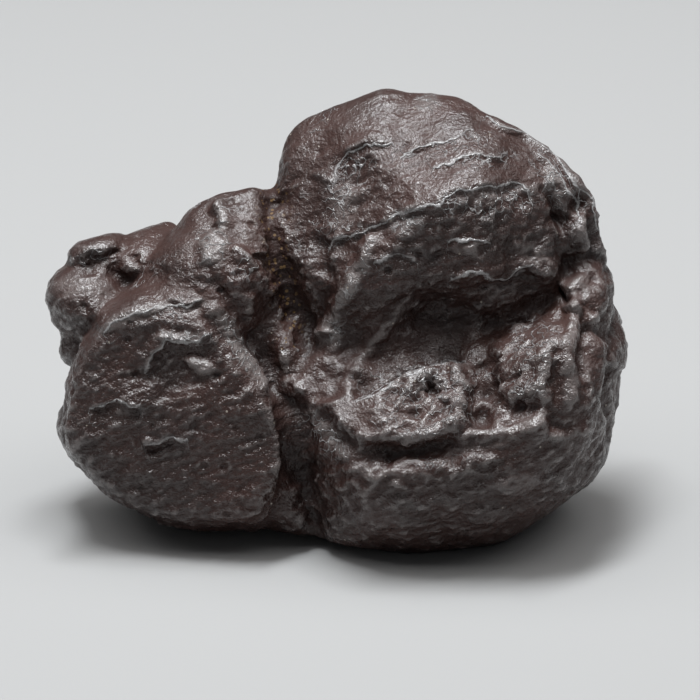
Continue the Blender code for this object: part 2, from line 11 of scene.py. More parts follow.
import bpy
import numpy as np
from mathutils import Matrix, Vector


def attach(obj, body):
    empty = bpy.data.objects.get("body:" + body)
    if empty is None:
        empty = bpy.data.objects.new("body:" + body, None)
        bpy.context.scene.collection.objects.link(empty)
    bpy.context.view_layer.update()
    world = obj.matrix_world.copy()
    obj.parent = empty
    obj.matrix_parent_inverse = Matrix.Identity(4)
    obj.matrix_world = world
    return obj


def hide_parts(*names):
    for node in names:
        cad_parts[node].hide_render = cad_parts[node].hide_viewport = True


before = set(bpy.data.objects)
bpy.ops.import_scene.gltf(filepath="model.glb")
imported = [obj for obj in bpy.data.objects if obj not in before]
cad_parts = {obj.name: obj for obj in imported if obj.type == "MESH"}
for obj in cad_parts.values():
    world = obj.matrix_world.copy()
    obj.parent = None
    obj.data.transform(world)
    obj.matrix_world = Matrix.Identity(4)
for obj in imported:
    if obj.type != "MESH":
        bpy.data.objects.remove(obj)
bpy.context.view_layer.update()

# %% [markdown]
# ## Where things are on the stone
#
# A stone has no straight sides to measure from. So every place on it is given as a visitor sees it who
# looks at its front, a little from above: how far across, how far up and how far out towards the eye, in
# millimetres. Two functions change such a place into a point in the room, and back.

# %% The front view
MM = 0.001
VIEW_TILT = 24.0
VIEW_DISTANCE = 600.0
VIEW_MIDDLE = np.array([0.0, 0.0, 25.8])
PLAN_MIDDLE = np.array([-1.8, 1.9, 0.0])

TILT = np.radians(VIEW_TILT)
ACROSS = np.array([1.0, 0.0, 0.0])
UP = np.array([0.0, np.sin(TILT), np.cos(TILT)])
OUT = np.array([0.0, -np.cos(TILT), np.sin(TILT)])


def place(across, up, out):
    """The point at `out` along the eye's line through (across, up): nearer points are spread less."""
    near = 1 - out / VIEW_DISTANCE
    return VIEW_MIDDLE + across * near * ACROSS + up * near * UP + out * OUT


def seen(points):
    """The way back: the three distances of each point along ACROSS, UP and OUT, spread as the eye sees."""
    away = points - VIEW_MIDDLE
    out = away @ OUT
    near = 1 - out / VIEW_DISTANCE
    return (away @ ACROSS) / near, (away @ UP) / near, out


def facing(bearing, rise):
    """The unit arrow that points `bearing` degrees round from the front and `rise` degrees above level."""
    turn, tilt = np.radians([bearing, rise])
    return np.array([np.sin(turn) * np.cos(tilt), -np.cos(turn) * np.cos(tilt), np.sin(tilt)])


print("the brow's middle is at", np.round(place(13.8, 21.7, 13.3) - PLAN_MIDDLE, 1), "mm")

# %% [markdown]
# ## The body of the stone
#
# Nodules that grow into each other could be made from metaballs or from sculpted spheres. Here they are a
# *field*: a function that gives about the distance to the surface, below nought inside. An ellipsoid is one
# lump, a flat break is a half-space, and both can be joined or cut with a soft edge. The advantage is that
# every lump and every break stays a named size that can be changed alone.

# %% Lumps that have grown together: the middle in the front view, then the radii along X, Y and Z
UPPER_LUMPS = [((8.3, 16.8, -5), (19.0, 19.0, 19.0)), ((23.7, 15.0, -8), (11.6, 15.0, 14.8))]
LOWER_LUMPS = [((15.4, -5.6, -3.5), (21.2, 21.0, 21.6)), ((4.1, -11.0, -2), (11.5, 16.0, 14.2))]
HEEL = ((-3.8, -3.8, -1.5), (5.0, 9.5, 4.8))
RIM_LUMPS = [((32.3, 1.4, -5), (5.5, 10.0, 12.0)), ((33.0, 7.2, 0), (4.0, 6.0, 4.5))]
LEFT_LUMPS = [((-24.5, -8.0, -3), (16.0, 18.0, 18.0)), ((-16.5, -10.0, -2.5), (11.0, 14.0, 13.5))]
MIDDLE_LOBE = ((-16.8, 10.4, -5), (12.0, 13.0, 12.3))
KNOBS = [
    ((-36.3, 6.9, -4), (6.2, 7.0, 5.2)),
    ((-35.2, 13.0, -5), (3.5, 5.5, 4.1)),
    ((-29.0, 13.4, -7), (4.9, 7.0, 4.4)),
    ((-38.4, 0.8, -7), (2.7, 4.5, 2.8)),
]
FILLETS = [
    ((-6.9, -14.4, -7), (5.5, 11.0, 7.0)),
    ((-9.2, 8.0, -6), (4.0, 8.0, 12.0)),
    ((-8.8, -2.5, -4), (4.2, 8.0, 9.0)),
]
CHEEK = ((24.0, -6.0, -2.5), (11.5, 17.5, 18.8))
HOLLOWS = [((14.5, 2.6, 12.0), (11.5, 8.5, 5.0)), ((24.5, 5.8, 10.5), (7.5, 6.5, 3.6))]
print(len(UPPER_LUMPS + LOWER_LUMPS + RIM_LUMPS) + 2, "lumps on the right, with the cheek and the heel")
print(len(LEFT_LUMPS + KNOBS) + 1, "on the left, with the middle lobe, and", len(FILLETS), "in the crease")

# %% How wide the rounding is where two of them meet, in millimetres
JOINTS = {
    "upper": 4.0,
    "lower": 5.0,
    "notch edge": 0.8,
    "notch corner": 0.6,
    "cheek": 2.0,
    "heel": 1.5,
    "upper to lower": 4.0,
    "hollow": 2.5,
    "rim": 3.0,
    "rim knob": 2.0,
    "nodule": 4.0,
    "lobe": 3.0,
    "knob": 1.0,
    "right to left": 1.8,
    "fillet": 2.0,
    "rest": 0.6,
}
print("joints from", min(JOINTS.values()), "to", max(JOINTS.values()), "mm wide")

# %% Flat breaks: a point on each, the bearing and rise of the way it faces, and its edge's rounding
UPPER_FACETS = [
    ((13.8, 20.7, 13.3), 2, 8, 0.8),
    ((13.8, 20.7, 13.3), -20, 58, 1.0),
    ((11.0, 28.9, 8.4), 5, 74, 2.5),
    ((0.0, 8.2, 9.9), -38, 34, 0.8),
    ((-4.8, 18.6, 8.0), -62, 40, 3.0),
    ((28.0, 22.0, 6.0), 52, 36, 1.0),
    ((12.0, 29.0, -17.0), 170, 42, 2.5),
]
LOWER_FACETS = [
    ((11.0, -11.5, 14.2), -8, 60, 1.0),
    ((-2.8, -11.0, 11.0), -52, -6, 2.5),
    ((13.8, -15.4, 14.5), 0, 2, 2.5),
]
CHEEK_FACETS = [
    ((25.5, -1.5, 12.6), -40, 24, 1.5),
    ((25.0, -12.5, 13.6), 8, 8, 3.0),
    ((34.4, -6.9, 5.0), 55, 0, 3.0),
]
BACK_FACETS = [
    ((24.0, 4.0, -20.5), 138, 16, 1.5),
    ((19.0, -6.0, -20.5), 165, -14, 1.5),
    ((8.0, 6.0, -23.0), 196, 6, 1.5),
    ((2.0, -8.0, -18.0), 216, -20, 2.0),
]
LEFT_FACETS = [
    ((-27.5, 5.2, 8.0), -8, 62, 1.0),
    ((-27.5, 5.0, 8.4), -6, 15, 1.2),
    ((-25.0, -13.0, 11.0), -5, 6, 4.0),
    ((-15.8, -0.3, 6.9), 55, 42, 0.5),
    ((-13.3, 0.6, 4.3), 105, 12, 0.8),
    ((-24.0, -2.0, -16.8), 172, 26, 1.2),
    ((-31.0, -8.0, -14.2), 205, -4, 1.5),
    ((-17.0, -13.0, -14.6), 168, -18, 1.5),
]
MIDDLE_FACETS = [
    ((-17.2, 12.7, 7.0), -5, 60, 1.5),
    ((-15.1, 6.9, 8.8), 0, 8, 1.5),
    ((-12.1, 15.1, 4.0), 55, 20, 2.0),
    ((-16.0, 14.0, -15.0), 180, 40, 2.0),
]
ALL_FACETS = UPPER_FACETS + LOWER_FACETS + CHEEK_FACETS + BACK_FACETS + LEFT_FACETS + MIDDLE_FACETS
print(len(ALL_FACETS), "flat breaks")

# %% The notch under the shelf: its floor and its roof, which meet at one point
NOTCH = [((5.0, -15.2, 12.0), -8, 40), ((5.0, -15.2, 12.0), 0, -8)]
print("the notch's floor faces", NOTCH[0][2], "degrees up and its roof", -NOTCH[1][2], "degrees down")


# %% The field
def join(first, second, rounding):
    """The lesser of two fields, with a parabola of width `rounding` across the crease between them."""
    share = np.clip(0.5 + 0.5 * (second - first) / rounding, 0, 1)
    return second + (first - second) * share - rounding * share * (1 - share)


def cut(first, second, rounding):
    """The greater of two fields, rounded in the same way: what lies inside both."""
    return -join(-first, -second, rounding)


def lump(points, middle, radii):
    """An ellipsoid's field: k (k - 1) over its slope, where k is the distance measured in radii."""
    away = points - place(*middle)
    radii = np.array(radii)
    near = np.sqrt(((away / radii) ** 2).sum(axis=1))
    steep = np.sqrt(((away / radii ** 2) ** 2).sum(axis=1))
    return near * (near - 1) / np.maximum(steep, 1e-9)


def faceted(points, field, facets):
    """The field cut by half-spaces, each the distance in front of a plane."""
    for at, bearing, rise, rounding in facets:
        field = cut(field, (points - place(*at)) @ facing(bearing, rise), rounding)
    return field


def stone_field(points):
    """All lumps joined, their breaks and the hollows cut away, and the floor's plane cut at z = 0."""
    upper = join(lump(points, *UPPER_LUMPS[0]), lump(points, *UPPER_LUMPS[1]), JOINTS["upper"])
    upper = faceted(points, upper, UPPER_FACETS)
    lower = join(lump(points, *LOWER_LUMPS[0]), lump(points, *LOWER_LUMPS[1]), JOINTS["lower"])
    lower = faceted(points, lower, LOWER_FACETS)
    floor, roof = [(points - place(*at)) @ facing(bearing, rise) for at, bearing, rise in NOTCH]
    lower = cut(lower, join(floor, roof, JOINTS["notch corner"]), JOINTS["notch edge"])
    lower = join(lower, faceted(points, lump(points, *CHEEK), CHEEK_FACETS), JOINTS["cheek"])
    lower = join(lower, lump(points, *HEEL), JOINTS["heel"])
    right = faceted(points, join(upper, lower, JOINTS["upper to lower"]), BACK_FACETS)
    for hollow in HOLLOWS:
        right = cut(right, -lump(points, *hollow), JOINTS["hollow"])
    right = join(right, lump(points, *RIM_LUMPS[0]), JOINTS["rim"])
    right = join(right, lump(points, *RIM_LUMPS[1]), JOINTS["rim knob"])
    nodule = join(lump(points, *LEFT_LUMPS[0]), lump(points, *LEFT_LUMPS[1]), JOINTS["nodule"])
    nodule = faceted(points, nodule, LEFT_FACETS)
    lobe = faceted(points, lump(points, *MIDDLE_LOBE), MIDDLE_FACETS)
    left = join(nodule, lobe, JOINTS["lobe"])
    for knob in KNOBS:
        left = join(left, lump(points, *knob), JOINTS["knob"])
    whole = join(right, left, JOINTS["right to left"])
    for fillet in FILLETS:
        whole = join(whole, lump(points, *fillet), JOINTS["fillet"])
    return cut(whole, -points[:, 2], JOINTS["rest"])


print("the field at the shelf's edge is", np.round(stone_field(place(11.0, -11.0, 14.0)[None]), 2), "mm")

# %% [markdown]
# ## A skin of six grids
#
# The skin is a function of two parameters: each of the six sides of a cube carries a square grid, bent onto
# a ball so that its cells are nearly even. The ball is then pulled down onto the field. It starts coarse,
# the points are spread, and each grid is doubled until it is fine enough, as a baker stretches dough.


# %% Six grids on a ball
def ball_grids(cells):
    """For each cube side, the direction (1, tan a, tan b), with a and b from -45 to 45 degrees."""
    t = np.tan(np.linspace(-np.pi / 4, np.pi / 4, cells + 1))
    a, b = np.meshgrid(t, t, indexing="ij")
    one = np.ones_like(a)
    sides = [(one, a, b), (-one, -a, b), (-a, one, b), (a, -one, b), (-b, a, one), (b, a, -one)]
    grids = np.stack([np.stack(side, axis=-1) for side in sides])
    return grids / np.linalg.norm(grids, axis=-1, keepdims=True)


def shared_points(cells):
    """Which points the grids share along the cube's edges: one number for each place on the ball."""
    flat = np.round(ball_grids(cells).reshape(-1, 3), 6)
    _, first, number = np.unique(flat, axis=0, return_index=True, return_inverse=True)
    return first, number.reshape(6, cells + 1, cells + 1)


def doubled(grids):
    """Grids with twice the cells: the new points lie half way between the old ones."""
    cells = 2 * (grids.shape[1] - 1)
    finer = np.empty((6, cells + 1, cells + 1, 3))
    finer[:, ::2, ::2] = grids
    finer[:, 1::2, ::2] = (grids[:, 1:] + grids[:, :-1]) / 2
    finer[:, :, 1::2] = (finer[:, :, 2::2] + finer[:, :, :-2:2]) / 2
    return finer


def quads_of(number):
    """The four corners of every cell, in an order that faces outwards."""
    corners = number[:, :-1, :-1], number[:, 1:, :-1], number[:, 1:, 1:], number[:, :-1, 1:]
    return np.stack(corners, axis=-1).reshape(-1, 4)


def edges_of(quads):
    """Each edge once, as a pair of point numbers."""
    pairs = np.concatenate([quads[:, [0, 1]], quads[:, [1, 2]], quads[:, [2, 3]], quads[:, [3, 0]]])
    return np.unique(np.sort(pairs, axis=1), axis=0)


print("a grid of 16 cells a side has", len(shared_points(16)[0]), "points")


# %% Pull the points onto the field, and spread them
def slope(points, step=0.05):
    """The field's gradient, from its values at the four corners of a small tetrahedron."""
    corners = np.array([[1, -1, -1], [-1, -1, 1], [-1, 1, -1], [1, 1, 1]], float)
    total = np.zeros_like(points)
    for corner in corners:
        total += corner * stone_field(points + step * corner)[:, None]
    return total / (4 * step)


def settled(points, steps):
    """Newton's rule: each point goes down the gradient by the field's value over its steepness."""
    for _ in range(steps):
        grade = slope(points)
        steep = np.maximum((grade ** 2).sum(axis=1), 0.25)
        points = points - (np.clip(stone_field(points), -3, 3) / steep)[:, None] * grade
    return points


def mean_of_neighbours(values, edges):
    """For each point, the mean of the values at the other ends of its edges."""
    first, second = edges.T
    count = len(values)
    near = np.bincount(first, minlength=count) + np.bincount(second, minlength=count)
    total = np.empty_like(values)
    for axis in range(values.shape[1]):
        total[:, axis] = np.bincount(first, values[second, axis], count)
        total[:, axis] += np.bincount(second, values[first, axis], count)
    return total / near[:, None]


def relaxed(points, edges, rounds):
    """Each point slides along the surface, half way to the mean of its neighbours, and settles again."""
    for _ in range(rounds):
        move = mean_of_neighbours(points, edges) - points
        way = slope(points)
        way /= np.linalg.norm(way, axis=1, keepdims=True)
        move -= (move * way).sum(axis=1, keepdims=True) * way
        points = settled(points + 0.5 * move, 1)
    return points


# %% Stretch the skin over the stone: the cells along a side of each grid, and the rounds of spreading
SKIN_STAGES = [(8, 30), (16, 20), (32, 12), (64, 8), (128, 2)]
BALL_RADII = [45.0, 32.0, 36.0]
BALL_MIDDLE = [-2.0, 2.0, 28.0]

skin_points = None
for cells, rounds in SKIN_STAGES:
    first_use, point_number = shared_points(cells)
    if skin_points is None:
        directions = ball_grids(cells).reshape(-1, 3)[first_use]
        skin_points = directions * BALL_RADII + BALL_MIDDLE
    else:
        skin_points = doubled(skin_points[last_number]).reshape(-1, 3)[first_use]
    skin_quads = quads_of(point_number)
    skin_edges = edges_of(skin_quads)
    skin_points = relaxed(settled(skin_points, 4), skin_edges, rounds)
    last_number = point_number
    print(cells, "cells a side:", len(skin_points), "points")

# %% [markdown]
# ## The outline
#
# The lumps bring the skin close to the real outline. The last millimetre comes from a gentle stretch: round
# the middle of the view, each bearing has a wanted reach, and points are slid towards it, the more so the
# nearer they are to the edge.

# %% The outline as seen from the front, anticlockwise from the right-hand end
OUTLINE = [
    (38.4, 2.1), (36.6, 6.2), (36.3, 10.2), (34.9, 13.8), (34.5, 18.3), (33.0, 22.3), (30.3, 25.4),
    (27.0, 28.2), (23.8, 30.5), (19.8, 32.2), (16.5, 34.1), (12.4, 35.6), (7.4, 35.3), (5.4, 36.6),
    (1.4, 35.1), (-2.1, 33.7), (-5.5, 32.5), (-8.2, 30.7), (-10.0, 26.8), (-10.5, 22.8), (-13.9, 22.4),
    (-16.6, 22.0), (-19.9, 20.9), (-22.3, 19.2), (-25.4, 17.6), (-29.2, 17.5), (-32.7, 16.2),
    (-34.9, 16.5), (-37.7, 15.4), (-39.1, 13.8), (-39.3, 12.1), (-41.2, 10.3), (-42.2, 7.6),
    (-41.8, 5.2), (-40.4, 3.4), (-40.6, 0.7), (-39.6, -1.7), (-38.8, -3.0), (-39.9, -6.1),
    (-40.7, -10.6), (-39.2, -14.4), (-36.2, -17.7), (-33.0, -20.8), (-29.4, -22.6), (-25.9, -24.3),
    (-21.3, -25.4), (-15.1, -25.2), (-10.3, -25.0), (-6.2, -25.4), (-2.1, -26.8), (1.1, -27.4),
    (6.9, -28.1), (11.4, -28.1), (15.1, -27.8), (19.2, -27.2), (23.0, -25.7), (26.1, -23.7),
    (30.0, -21.0), (33.4, -18.4), (35.5, -14.9), (36.4, -11.0), (37.0, -6.3), (38.0, -2.2),
]
OUTLINE_MIDDLE = np.array([-2.1, 2.1])
SECTORS = 120
print("the outline has", len(OUTLINE), "corners")


# %% Slide the skin onto it
def wanted_reach(bearings):
    """The outline's distance from its middle at each bearing, read between its corners."""
    corners = np.array(OUTLINE + OUTLINE[:1]) - OUTLINE_MIDDLE
    along = np.linspace(0, len(corners) - 1, 40 * len(corners))
    x = np.interp(along, np.arange(len(corners)), corners[:, 0])
    y = np.interp(along, np.arange(len(corners)), corners[:, 1])
    order = np.argsort(np.arctan2(y, x))
    return np.interp(bearings, np.arctan2(y, x)[order], np.hypot(x, y)[order], period=2 * np.pi)


def fitted(points):
    """Each point's reach grows by (wanted over found, less 1) times the cube of its share of the reach."""
    across, up, out = seen(points)
    x, y = across - OUTLINE_MIDDLE[0], up - OUTLINE_MIDDLE[1]
    reach, bearing = np.hypot(x, y), np.arctan2(y, x)
    sector = np.floor((bearing + np.pi) / (2 * np.pi) * SECTORS).astype(int) % SECTORS
    found = np.zeros(SECTORS)
    np.maximum.at(found, sector, reach)
    middles = (np.arange(SECTORS) + 0.5) / SECTORS * 2 * np.pi - np.pi
    ratio = wanted_reach(middles) / found
    for _ in range(2):
        ratio = (np.roll(ratio, 1) + 2 * ratio + np.roll(ratio, -1)) / 4
    limit = np.interp(bearing, middles, found, period=2 * np.pi)
    change = np.interp(bearing, middles, ratio, period=2 * np.pi) - 1
    grow = 1 + change * np.clip(reach / limit, 0, 1) ** 3
    near = 1 - out / VIEW_DISTANCE
    moved = VIEW_MIDDLE + ((OUTLINE_MIDDLE[0] + x * grow) * near)[:, None] * ACROSS
    moved += ((OUTLINE_MIDDLE[1] + y * grow) * near)[:, None] * UP + out[:, None] * OUT
    moved[points[:, 2] < 0.05, 2] = 0
    moved[:, 2] = np.maximum(moved[:, 2], 0)
    return moved


skin_points = fitted(skin_points)
print("skin from", skin_points.min(axis=0).round(1), "to", skin_points.max(axis=0).round(1), "mm")

# %% [markdown]
# ## Ledges, ridges and dents
#
# The breaks of a real concretion have thin ledges, where one layer ends on another, narrow ridges between
# scoops, and grooves where two nodules meet. Each is a line drawn on the front view with a profile across
# it. A sculptor would use the same few strokes. The back and the ends get a few strokes of their own.

# %% Lines of the ledges, and how proud, how deep back and how sunk at the foot
LEDGE_CRISPNESS = 0.4
WANDER = 0.6
LEDGES = [
    ([(-2.3, 22.3), (-1.7, 24.8), (0.0, 27.0), (2.2, 27.9), (6.2, 27.8)], 0.45, 3.0, 0.3),
    ([(6.6, 26.7), (9.6, 27.5), (13.1, 28.6), (17.6, 30.0)], 0.40, 3.0, 0.15),
    ([(11.0, 25.0), (14.4, 26.1), (18.6, 26.7), (22.3, 26.7)], 0.30, 2.5, 0.1),
    ([(-4.1, 14.0), (-0.7, 15.1), (4.1, 17.1), (6.9, 18.7), (12.1, 19.8), (13.2, 21.0), (20.6, 22.6),
      (23.7, 22.8), (25.9, 19.0)], 0.65, 3.0, 0.25),
    ([(25.4, 27.5), (28.9, 24.1), (30.9, 19.9), (31.6, 17.2)], 0.4, 2.1, 0.4),
    ([(17.9, 32.0), (23.4, 30.0), (28.9, 26.4), (33.0, 20.6), (34.4, 15.8)], 0.6, 1.9, 0.4),
    ([(-34.4, 2.1), (-30.9, 4.3), (-27.5, 5.6), (-22.7, 5.8), (-19.9, 7.4)], 0.7, 2.2, 0.2),
    ([(-28.5, -3.6), (-27.2, -0.7), (-25.0, 1.4), (-22.2, 1.0), (-18.8, 1.8)], 1.2, 0.8, 0.2),
    ([(-28.9, -13.0), (-25.5, -12.2), (-22.0, -12.6)], 0.6, 2.0, 0.5),
    ([(-36.0, -8.6), (-32.0, -7.4), (-28.5, -8.0)], 0.5, 1.8, 0.5),
    ([(16.6, -1.8), (13.5, -1.4), (10.3, -2.4), (6.5, -4.2), (3.0, -6.0), (0.2, -7.2)], 0.5, 3.0, 1.7),
    ([(13.5, 9.6), (17.5, 10.6), (21.5, 9.8), (25.5, 12.0)], 0.6, 1.2, 0.3),
    ([(13.0, 14.6), (16.5, 15.2), (19.6, 14.6)], 0.5, 1.2, 0.2),
    ([(3.0, 12.0), (6.5, 12.8), (9.6, 12.4)], 0.5, 1.2, 0.2),
]
print(len(LEDGES), "ledges")

# %% Lines of the ridges and grooves, with height and half-width
RIDGES = [
    ([(3.9, 16.2), (0.6, 10.3), (-1.7, 5.5), (-3.4, 1.0)], 1.3, 1.3),
    ([(9.6, 8.2), (5.8, 4.0), (2.5, 0.3), (0.3, -3.4)], 0.8, 1.1),
    ([(-4.2, 15.6), (-3.6, 10.0), (-4.0, 4.0)], -0.8, 1.0),
    ([(28.2, 23.0), (29.0, 18.0)], -0.6, 0.8),
    ([(29.7, 10.3), (30.9, 6.9), (30.5, 2.8), (30.3, -4.1), (30.5, -8.3)], 1.0, 0.9),
    ([(33.3, 4.1), (32.3, 0.0), (31.6, -4.1)], -0.9, 0.8),
    ([(-16.8, 13.8), (-14.4, 12.7), (-13.1, 10.7), (-12.4, 8.9), (-10.3, 7.3)], 1.1, 0.8),
    ([(-18.2, 20.0), (-16.9, 17.2), (-17.6, 15.1)], 1.1, 0.9),
    ([(13.1, 8.2), (18.6, 6.9), (23.4, 7.4), (28.9, 8.5)], 0.9, 2.7),
    ([(-4.9, -6.8), (-3.2, -11.4), (0.4, -14.0), (6.0, -14.4), (12.0, -13.6), (15.6, -12.4)], -1.3, 1.2),
    ([(-6.9, -8.0), (-4.1, -11.0), (-0.7, -14.6), (4.1, -16.8), (11.0, -16.2), (16.5, -14.9),
      (24.8, -11.8), (29.6, -10.2)], 0.3, 1.3),
    ([(3.4, -6.2), (4.1, -8.9), (5.8, -11.3), (11.0, -11.0), (14.6, -10.0), (15.8, -4.8)], 0.6, 0.9),
    ([(7.2, -6.6), (8.3, -4.8), (10.3, -3.6), (12.8, -4.6), (13.6, -7.4)], 1.1, 0.7),
    ([(13.8, -2.1), (15.4, -4.6), (15.8, -6.9), (14.6, -10.0), (12.6, -10.9)], 1.0, 0.7),
    ([(28.9, 6.9), (31.6, 8.2), (34.4, 10.3)], -1.0, 1.0),
    ([(28.6, 1.4), (28.6, -5.5), (28.3, -12.0)], -1.4, 1.1),
    ([(36.0, 2.1), (34.4, -1.4), (33.0, -6.9), (31.9, -12.4)], 1.0, 1.2),
    ([(-20.9, 8.0), (-17.6, 3.4), (-13.8, -2.1), (-9.4, -8.0)], 0.5, 1.2),
    ([(27.2, 23.0), (29.6, 17.2), (30.6, 12.4), (29.2, 8.3), (26.1, 6.2), (21.0, 3.6), (16.5, 2.8)],
     -1.9, 1.3),
    ([(-19.9, 10.3), (-16.5, 6.9), (-12.4, 0.7), (-8.9, -6.2)], -0.7, 1.1),
    ([(-10.3, 22.7), (-10.7, 17.9), (-9.6, 12.4), (-8.5, 6.9), (-8.1, 2.8)], -1.2, 1.2),
    ([(-8.2, -6.2), (-8.0, -11.0), (-6.6, -17.9), (-5.0, -25.4)], -2.0, 1.1),
]
print(len(RIDGES), "ridges and grooves")

# %% Bumps and dents: the middle, the half-sizes, the turn and the height
BUMPS = [
    ((-2.3, 1.7), (1.5, 1.7), 20, 0.8),
    ((0.7, 24.6), (2.6, 2.2), 0, -0.6),
    ((20.0, -9.4), (5.0, 2.0), 10, -0.9),
    ((11.2, -5.4), (2.0, 1.0), -10, -1.3),
    ((18.2, -5.0), (2.2, 5.0), -8, -1.6),
    ((24.0, -5.4), (2.6, 1.4), 20, 0.8),
    ((24.6, -10.2), (1.7, 0.8), 10, 0.7),
    ((-26.1, -11.0), (11.0, 6.8), 0, 0.7),
    ((-23.4, -2.7), (5.0, 3.2), 15, -0.8),
    ((20.6, 8.5), (2.2, 1.0), 5, 0.5),
    ((26.8, 11.0), (2.2, 1.1), -20, 0.5),
    ((22.7, -18.3), (3.0, 1.4), 8, 0.9),
    ((27.9, -18.2), (1.7, 1.1), 20, 0.6),
    ((10.3, -20.9), (4.8, 1.0), 5, 0.6),
    ((19.2, -22.7), (3.9, 1.1), 0, 0.6),
    ((28.5, 23.0), (1.0, 2.4), 20, 0.7),
    ((31.9, 20.0), (1.0, 1.4), 0, -1.6),
    ((32.2, 16.4), (0.9, 1.8), 0, 0.7),
    ((33.6, 15.5), (0.5, 3.0), 0, -1.0),
    ((35.2, 13.8), (0.9, 2.3), 10, 0.8),
    ((31.6, 8.7), (1.7, 1.6), 0, 0.9),
    ((30.7, 5.8), (1.5, 1.0), -30, 0.8),
    ((33.3, 4.4), (1.0, 1.0), 0, 0.5),
    ((-18.8, 13.8), (1.9, 2.2), -30, 1.2),
    ((16.5, 14.2), (1.7, 0.7), 10, 0.6),
    ((-20.9, -2.2), (2.1, 0.8), -15, 0.8),
    ((-8.0, -5.0), (1.2, 1.1), 0, 1.2),
    ((-6.9, -13.8), (1.4, 1.8), 15, 1.2),
    ((-3.4, -4.4), (2.8, 2.2), 30, -1.2),
    ((-35.1, 12.0), (2.2, 1.2), 10, -1.4),
    ((-32.6, 13.5), (0.7, 0.6), 0, -0.5),
    ((-29.7, 12.6), (0.5, 1.0), 40, -0.7),
]
print(len(BUMPS), "bumps and dents")

# %% Strokes on the back and the two ends: the bearing of the side, then its ledges, ridges and bumps
OTHER_SIDES = [
    (
        180,
        [
            ([(-30, 10), (-22, 14), (-12, 13), (-2, 9)], 0.9, 2.6, 0.4),
            ([(-34, -6), (-26, -3), (-16, -5), (-8, -9)], 0.8, 2.2, 0.4),
            ([(-28, 24), (-18, 27), (-10, 25)], 0.6, 3.0, 0.3),
            ([(12, 3), (20, 6), (28, 2)], 0.7, 2.2, 0.4),
        ],
        [
            ([(9, 20), (8, 10), (9, 0), (7, -10), (8, -22)], -1.4, 1.5),
            ([(-24, 22), (-27, 10), (-26, 0), (-29, -10)], 0.9, 1.6),
            ([(-14, 20), (-15, 8), (-10, -4), (-12, -16)], -1.0, 1.7),
        ],
        [
            ((-20, 6), (5.0, 4.0), 20, -1.5),
            ((-6, 17), (4.0, 3.0), -10, -1.1),
            ((-28, -12), (5.0, 3.5), 10, -1.3),
            ((-13, -13), (4.5, 3.0), 0, -1.0),
            ((24, -8), (5.0, 4.0), 0, -1.4),
            ((-34, 2), (3.0, 4.0), 0, 1.0),
            ((-3, -14), (3.0, 2.4), 0, 1.1),
            ((16, 11), (3.0, 2.5), 0, 0.9),
            ((17, -17), (3.0, 2.0), 10, 1.0),
        ],
    ),
    (
        90,
        [([(-12, 12), (-4, 15), (6, 12)], 0.7, 2.2, 0.4), ([(-14, -4), (-4, -1), (8, -5)], 0.7, 2.0, 0.4)],
        [([(12, 18), (14, 6), (10, -6)], 0.8, 1.4), ([(-3, 8), (-6, -4), (-2, -15)], -0.9, 1.3)],
        [((1, 4), (5.0, 3.5), 0, -1.2), ((-9, -12), (4.0, 3.0), 0, -1.0), ((9, -9), (3.5, 3.0), 0, -0.9)],
    ),
    (
        270,
        [([(-10, -2), (0, 1), (9, -3)], 0.7, 2.0, 0.4)],
        [([(-4, 4), (-7, -6), (-3, -16)], 0.8, 1.3)],
        [((3, -9), (4.0, 3.5), 0, -1.1), ((-11, -8), (2.5, 3.0), 0, 0.8)],
    ),
]
print("strokes on", 1 + len(OTHER_SIDES), "sides")

# %% Patches painted pale, partly rubbed wear and partly painted sheen, as middle, half-sizes, turn and how pale
PALE = [
    ((0.0, 8.6), (8.0, 0.9), 63, 0.8), ((5.0, 3.0), (6.5, 0.6), 52, 0.5),
    ((-2.2, 2.8), (1.6, 1.8), 0, 0.9), ((10.3, -6.9), (6.4, 5.0), 0, 0.15),
    ((25.2, 0.7), (3.2, 3.4), 0, 0.1), ((24.8, -9.8), (1.6, 0.8), 0, 0.5),
    ((20.6, 8.4), (2.4, 1.0), 5, 0.7), ((16.5, 14.0), (1.7, 0.8), 5, 0.6),
    ((25.0, 13.4), (2.4, 1.0), -30, 0.6), ((28.4, 23.0), (1.1, 2.6), 15, 0.8),
    ((10.6, 34.0), (1.5, 1.2), 0, 0.7), ((-15.0, 0.0), (6.2, 1.1), -56, 1.0),
    ((-19.0, 14.2), (2.0, 2.4), -20, 0.8), ((-17.4, 17.6), (0.8, 2.6), 0, 0.7),
    ((-23.2, 1.9), (3.4, 0.7), 0, 0.8), ((-20.4, -2.5), (1.9, 0.8), -15, 0.8),
    ((-29.5, 4.6), (5.4, 0.9), 22, 0.6), ((-21.6, 6.2), (1.8, 1.0), 20, 0.8),
    ((-3.2, -11.4), (4.2, 0.9), -52, 0.8), ((3.5, -16.8), (3.4, 1.0), -10, 0.5),
    ((17.6, -13.0), (4.5, 1.0), 15, 0.4), ((22.7, -18.3), (2.6, 1.2), 8, 0.5),
    ((31.6, 8.7), (1.7, 1.6), 0, 0.5), ((30.7, 5.8), (1.5, 1.0), -30, 0.5),
    ((32.2, 16.4), (0.8, 1.6), 0, 0.5), ((30.5, -6.0), (0.9, 3.4), -5, 0.5),
    ((7.6, 17.6), (2.4, 1.6), 10, 0.7), ((-0.6, 20.0), (1.8, 3.6), -15, 0.5),
    ((20.0, 21.4), (6.0, 0.9), 8, 0.6), ((-37.0, 8.6), (3.4, 1.6), 0, 0.4),
    ((-34.6, 14.0), (1.8, 0.8), 0, 0.5),
]
print(len(PALE), "pale patches of wear and sheen")

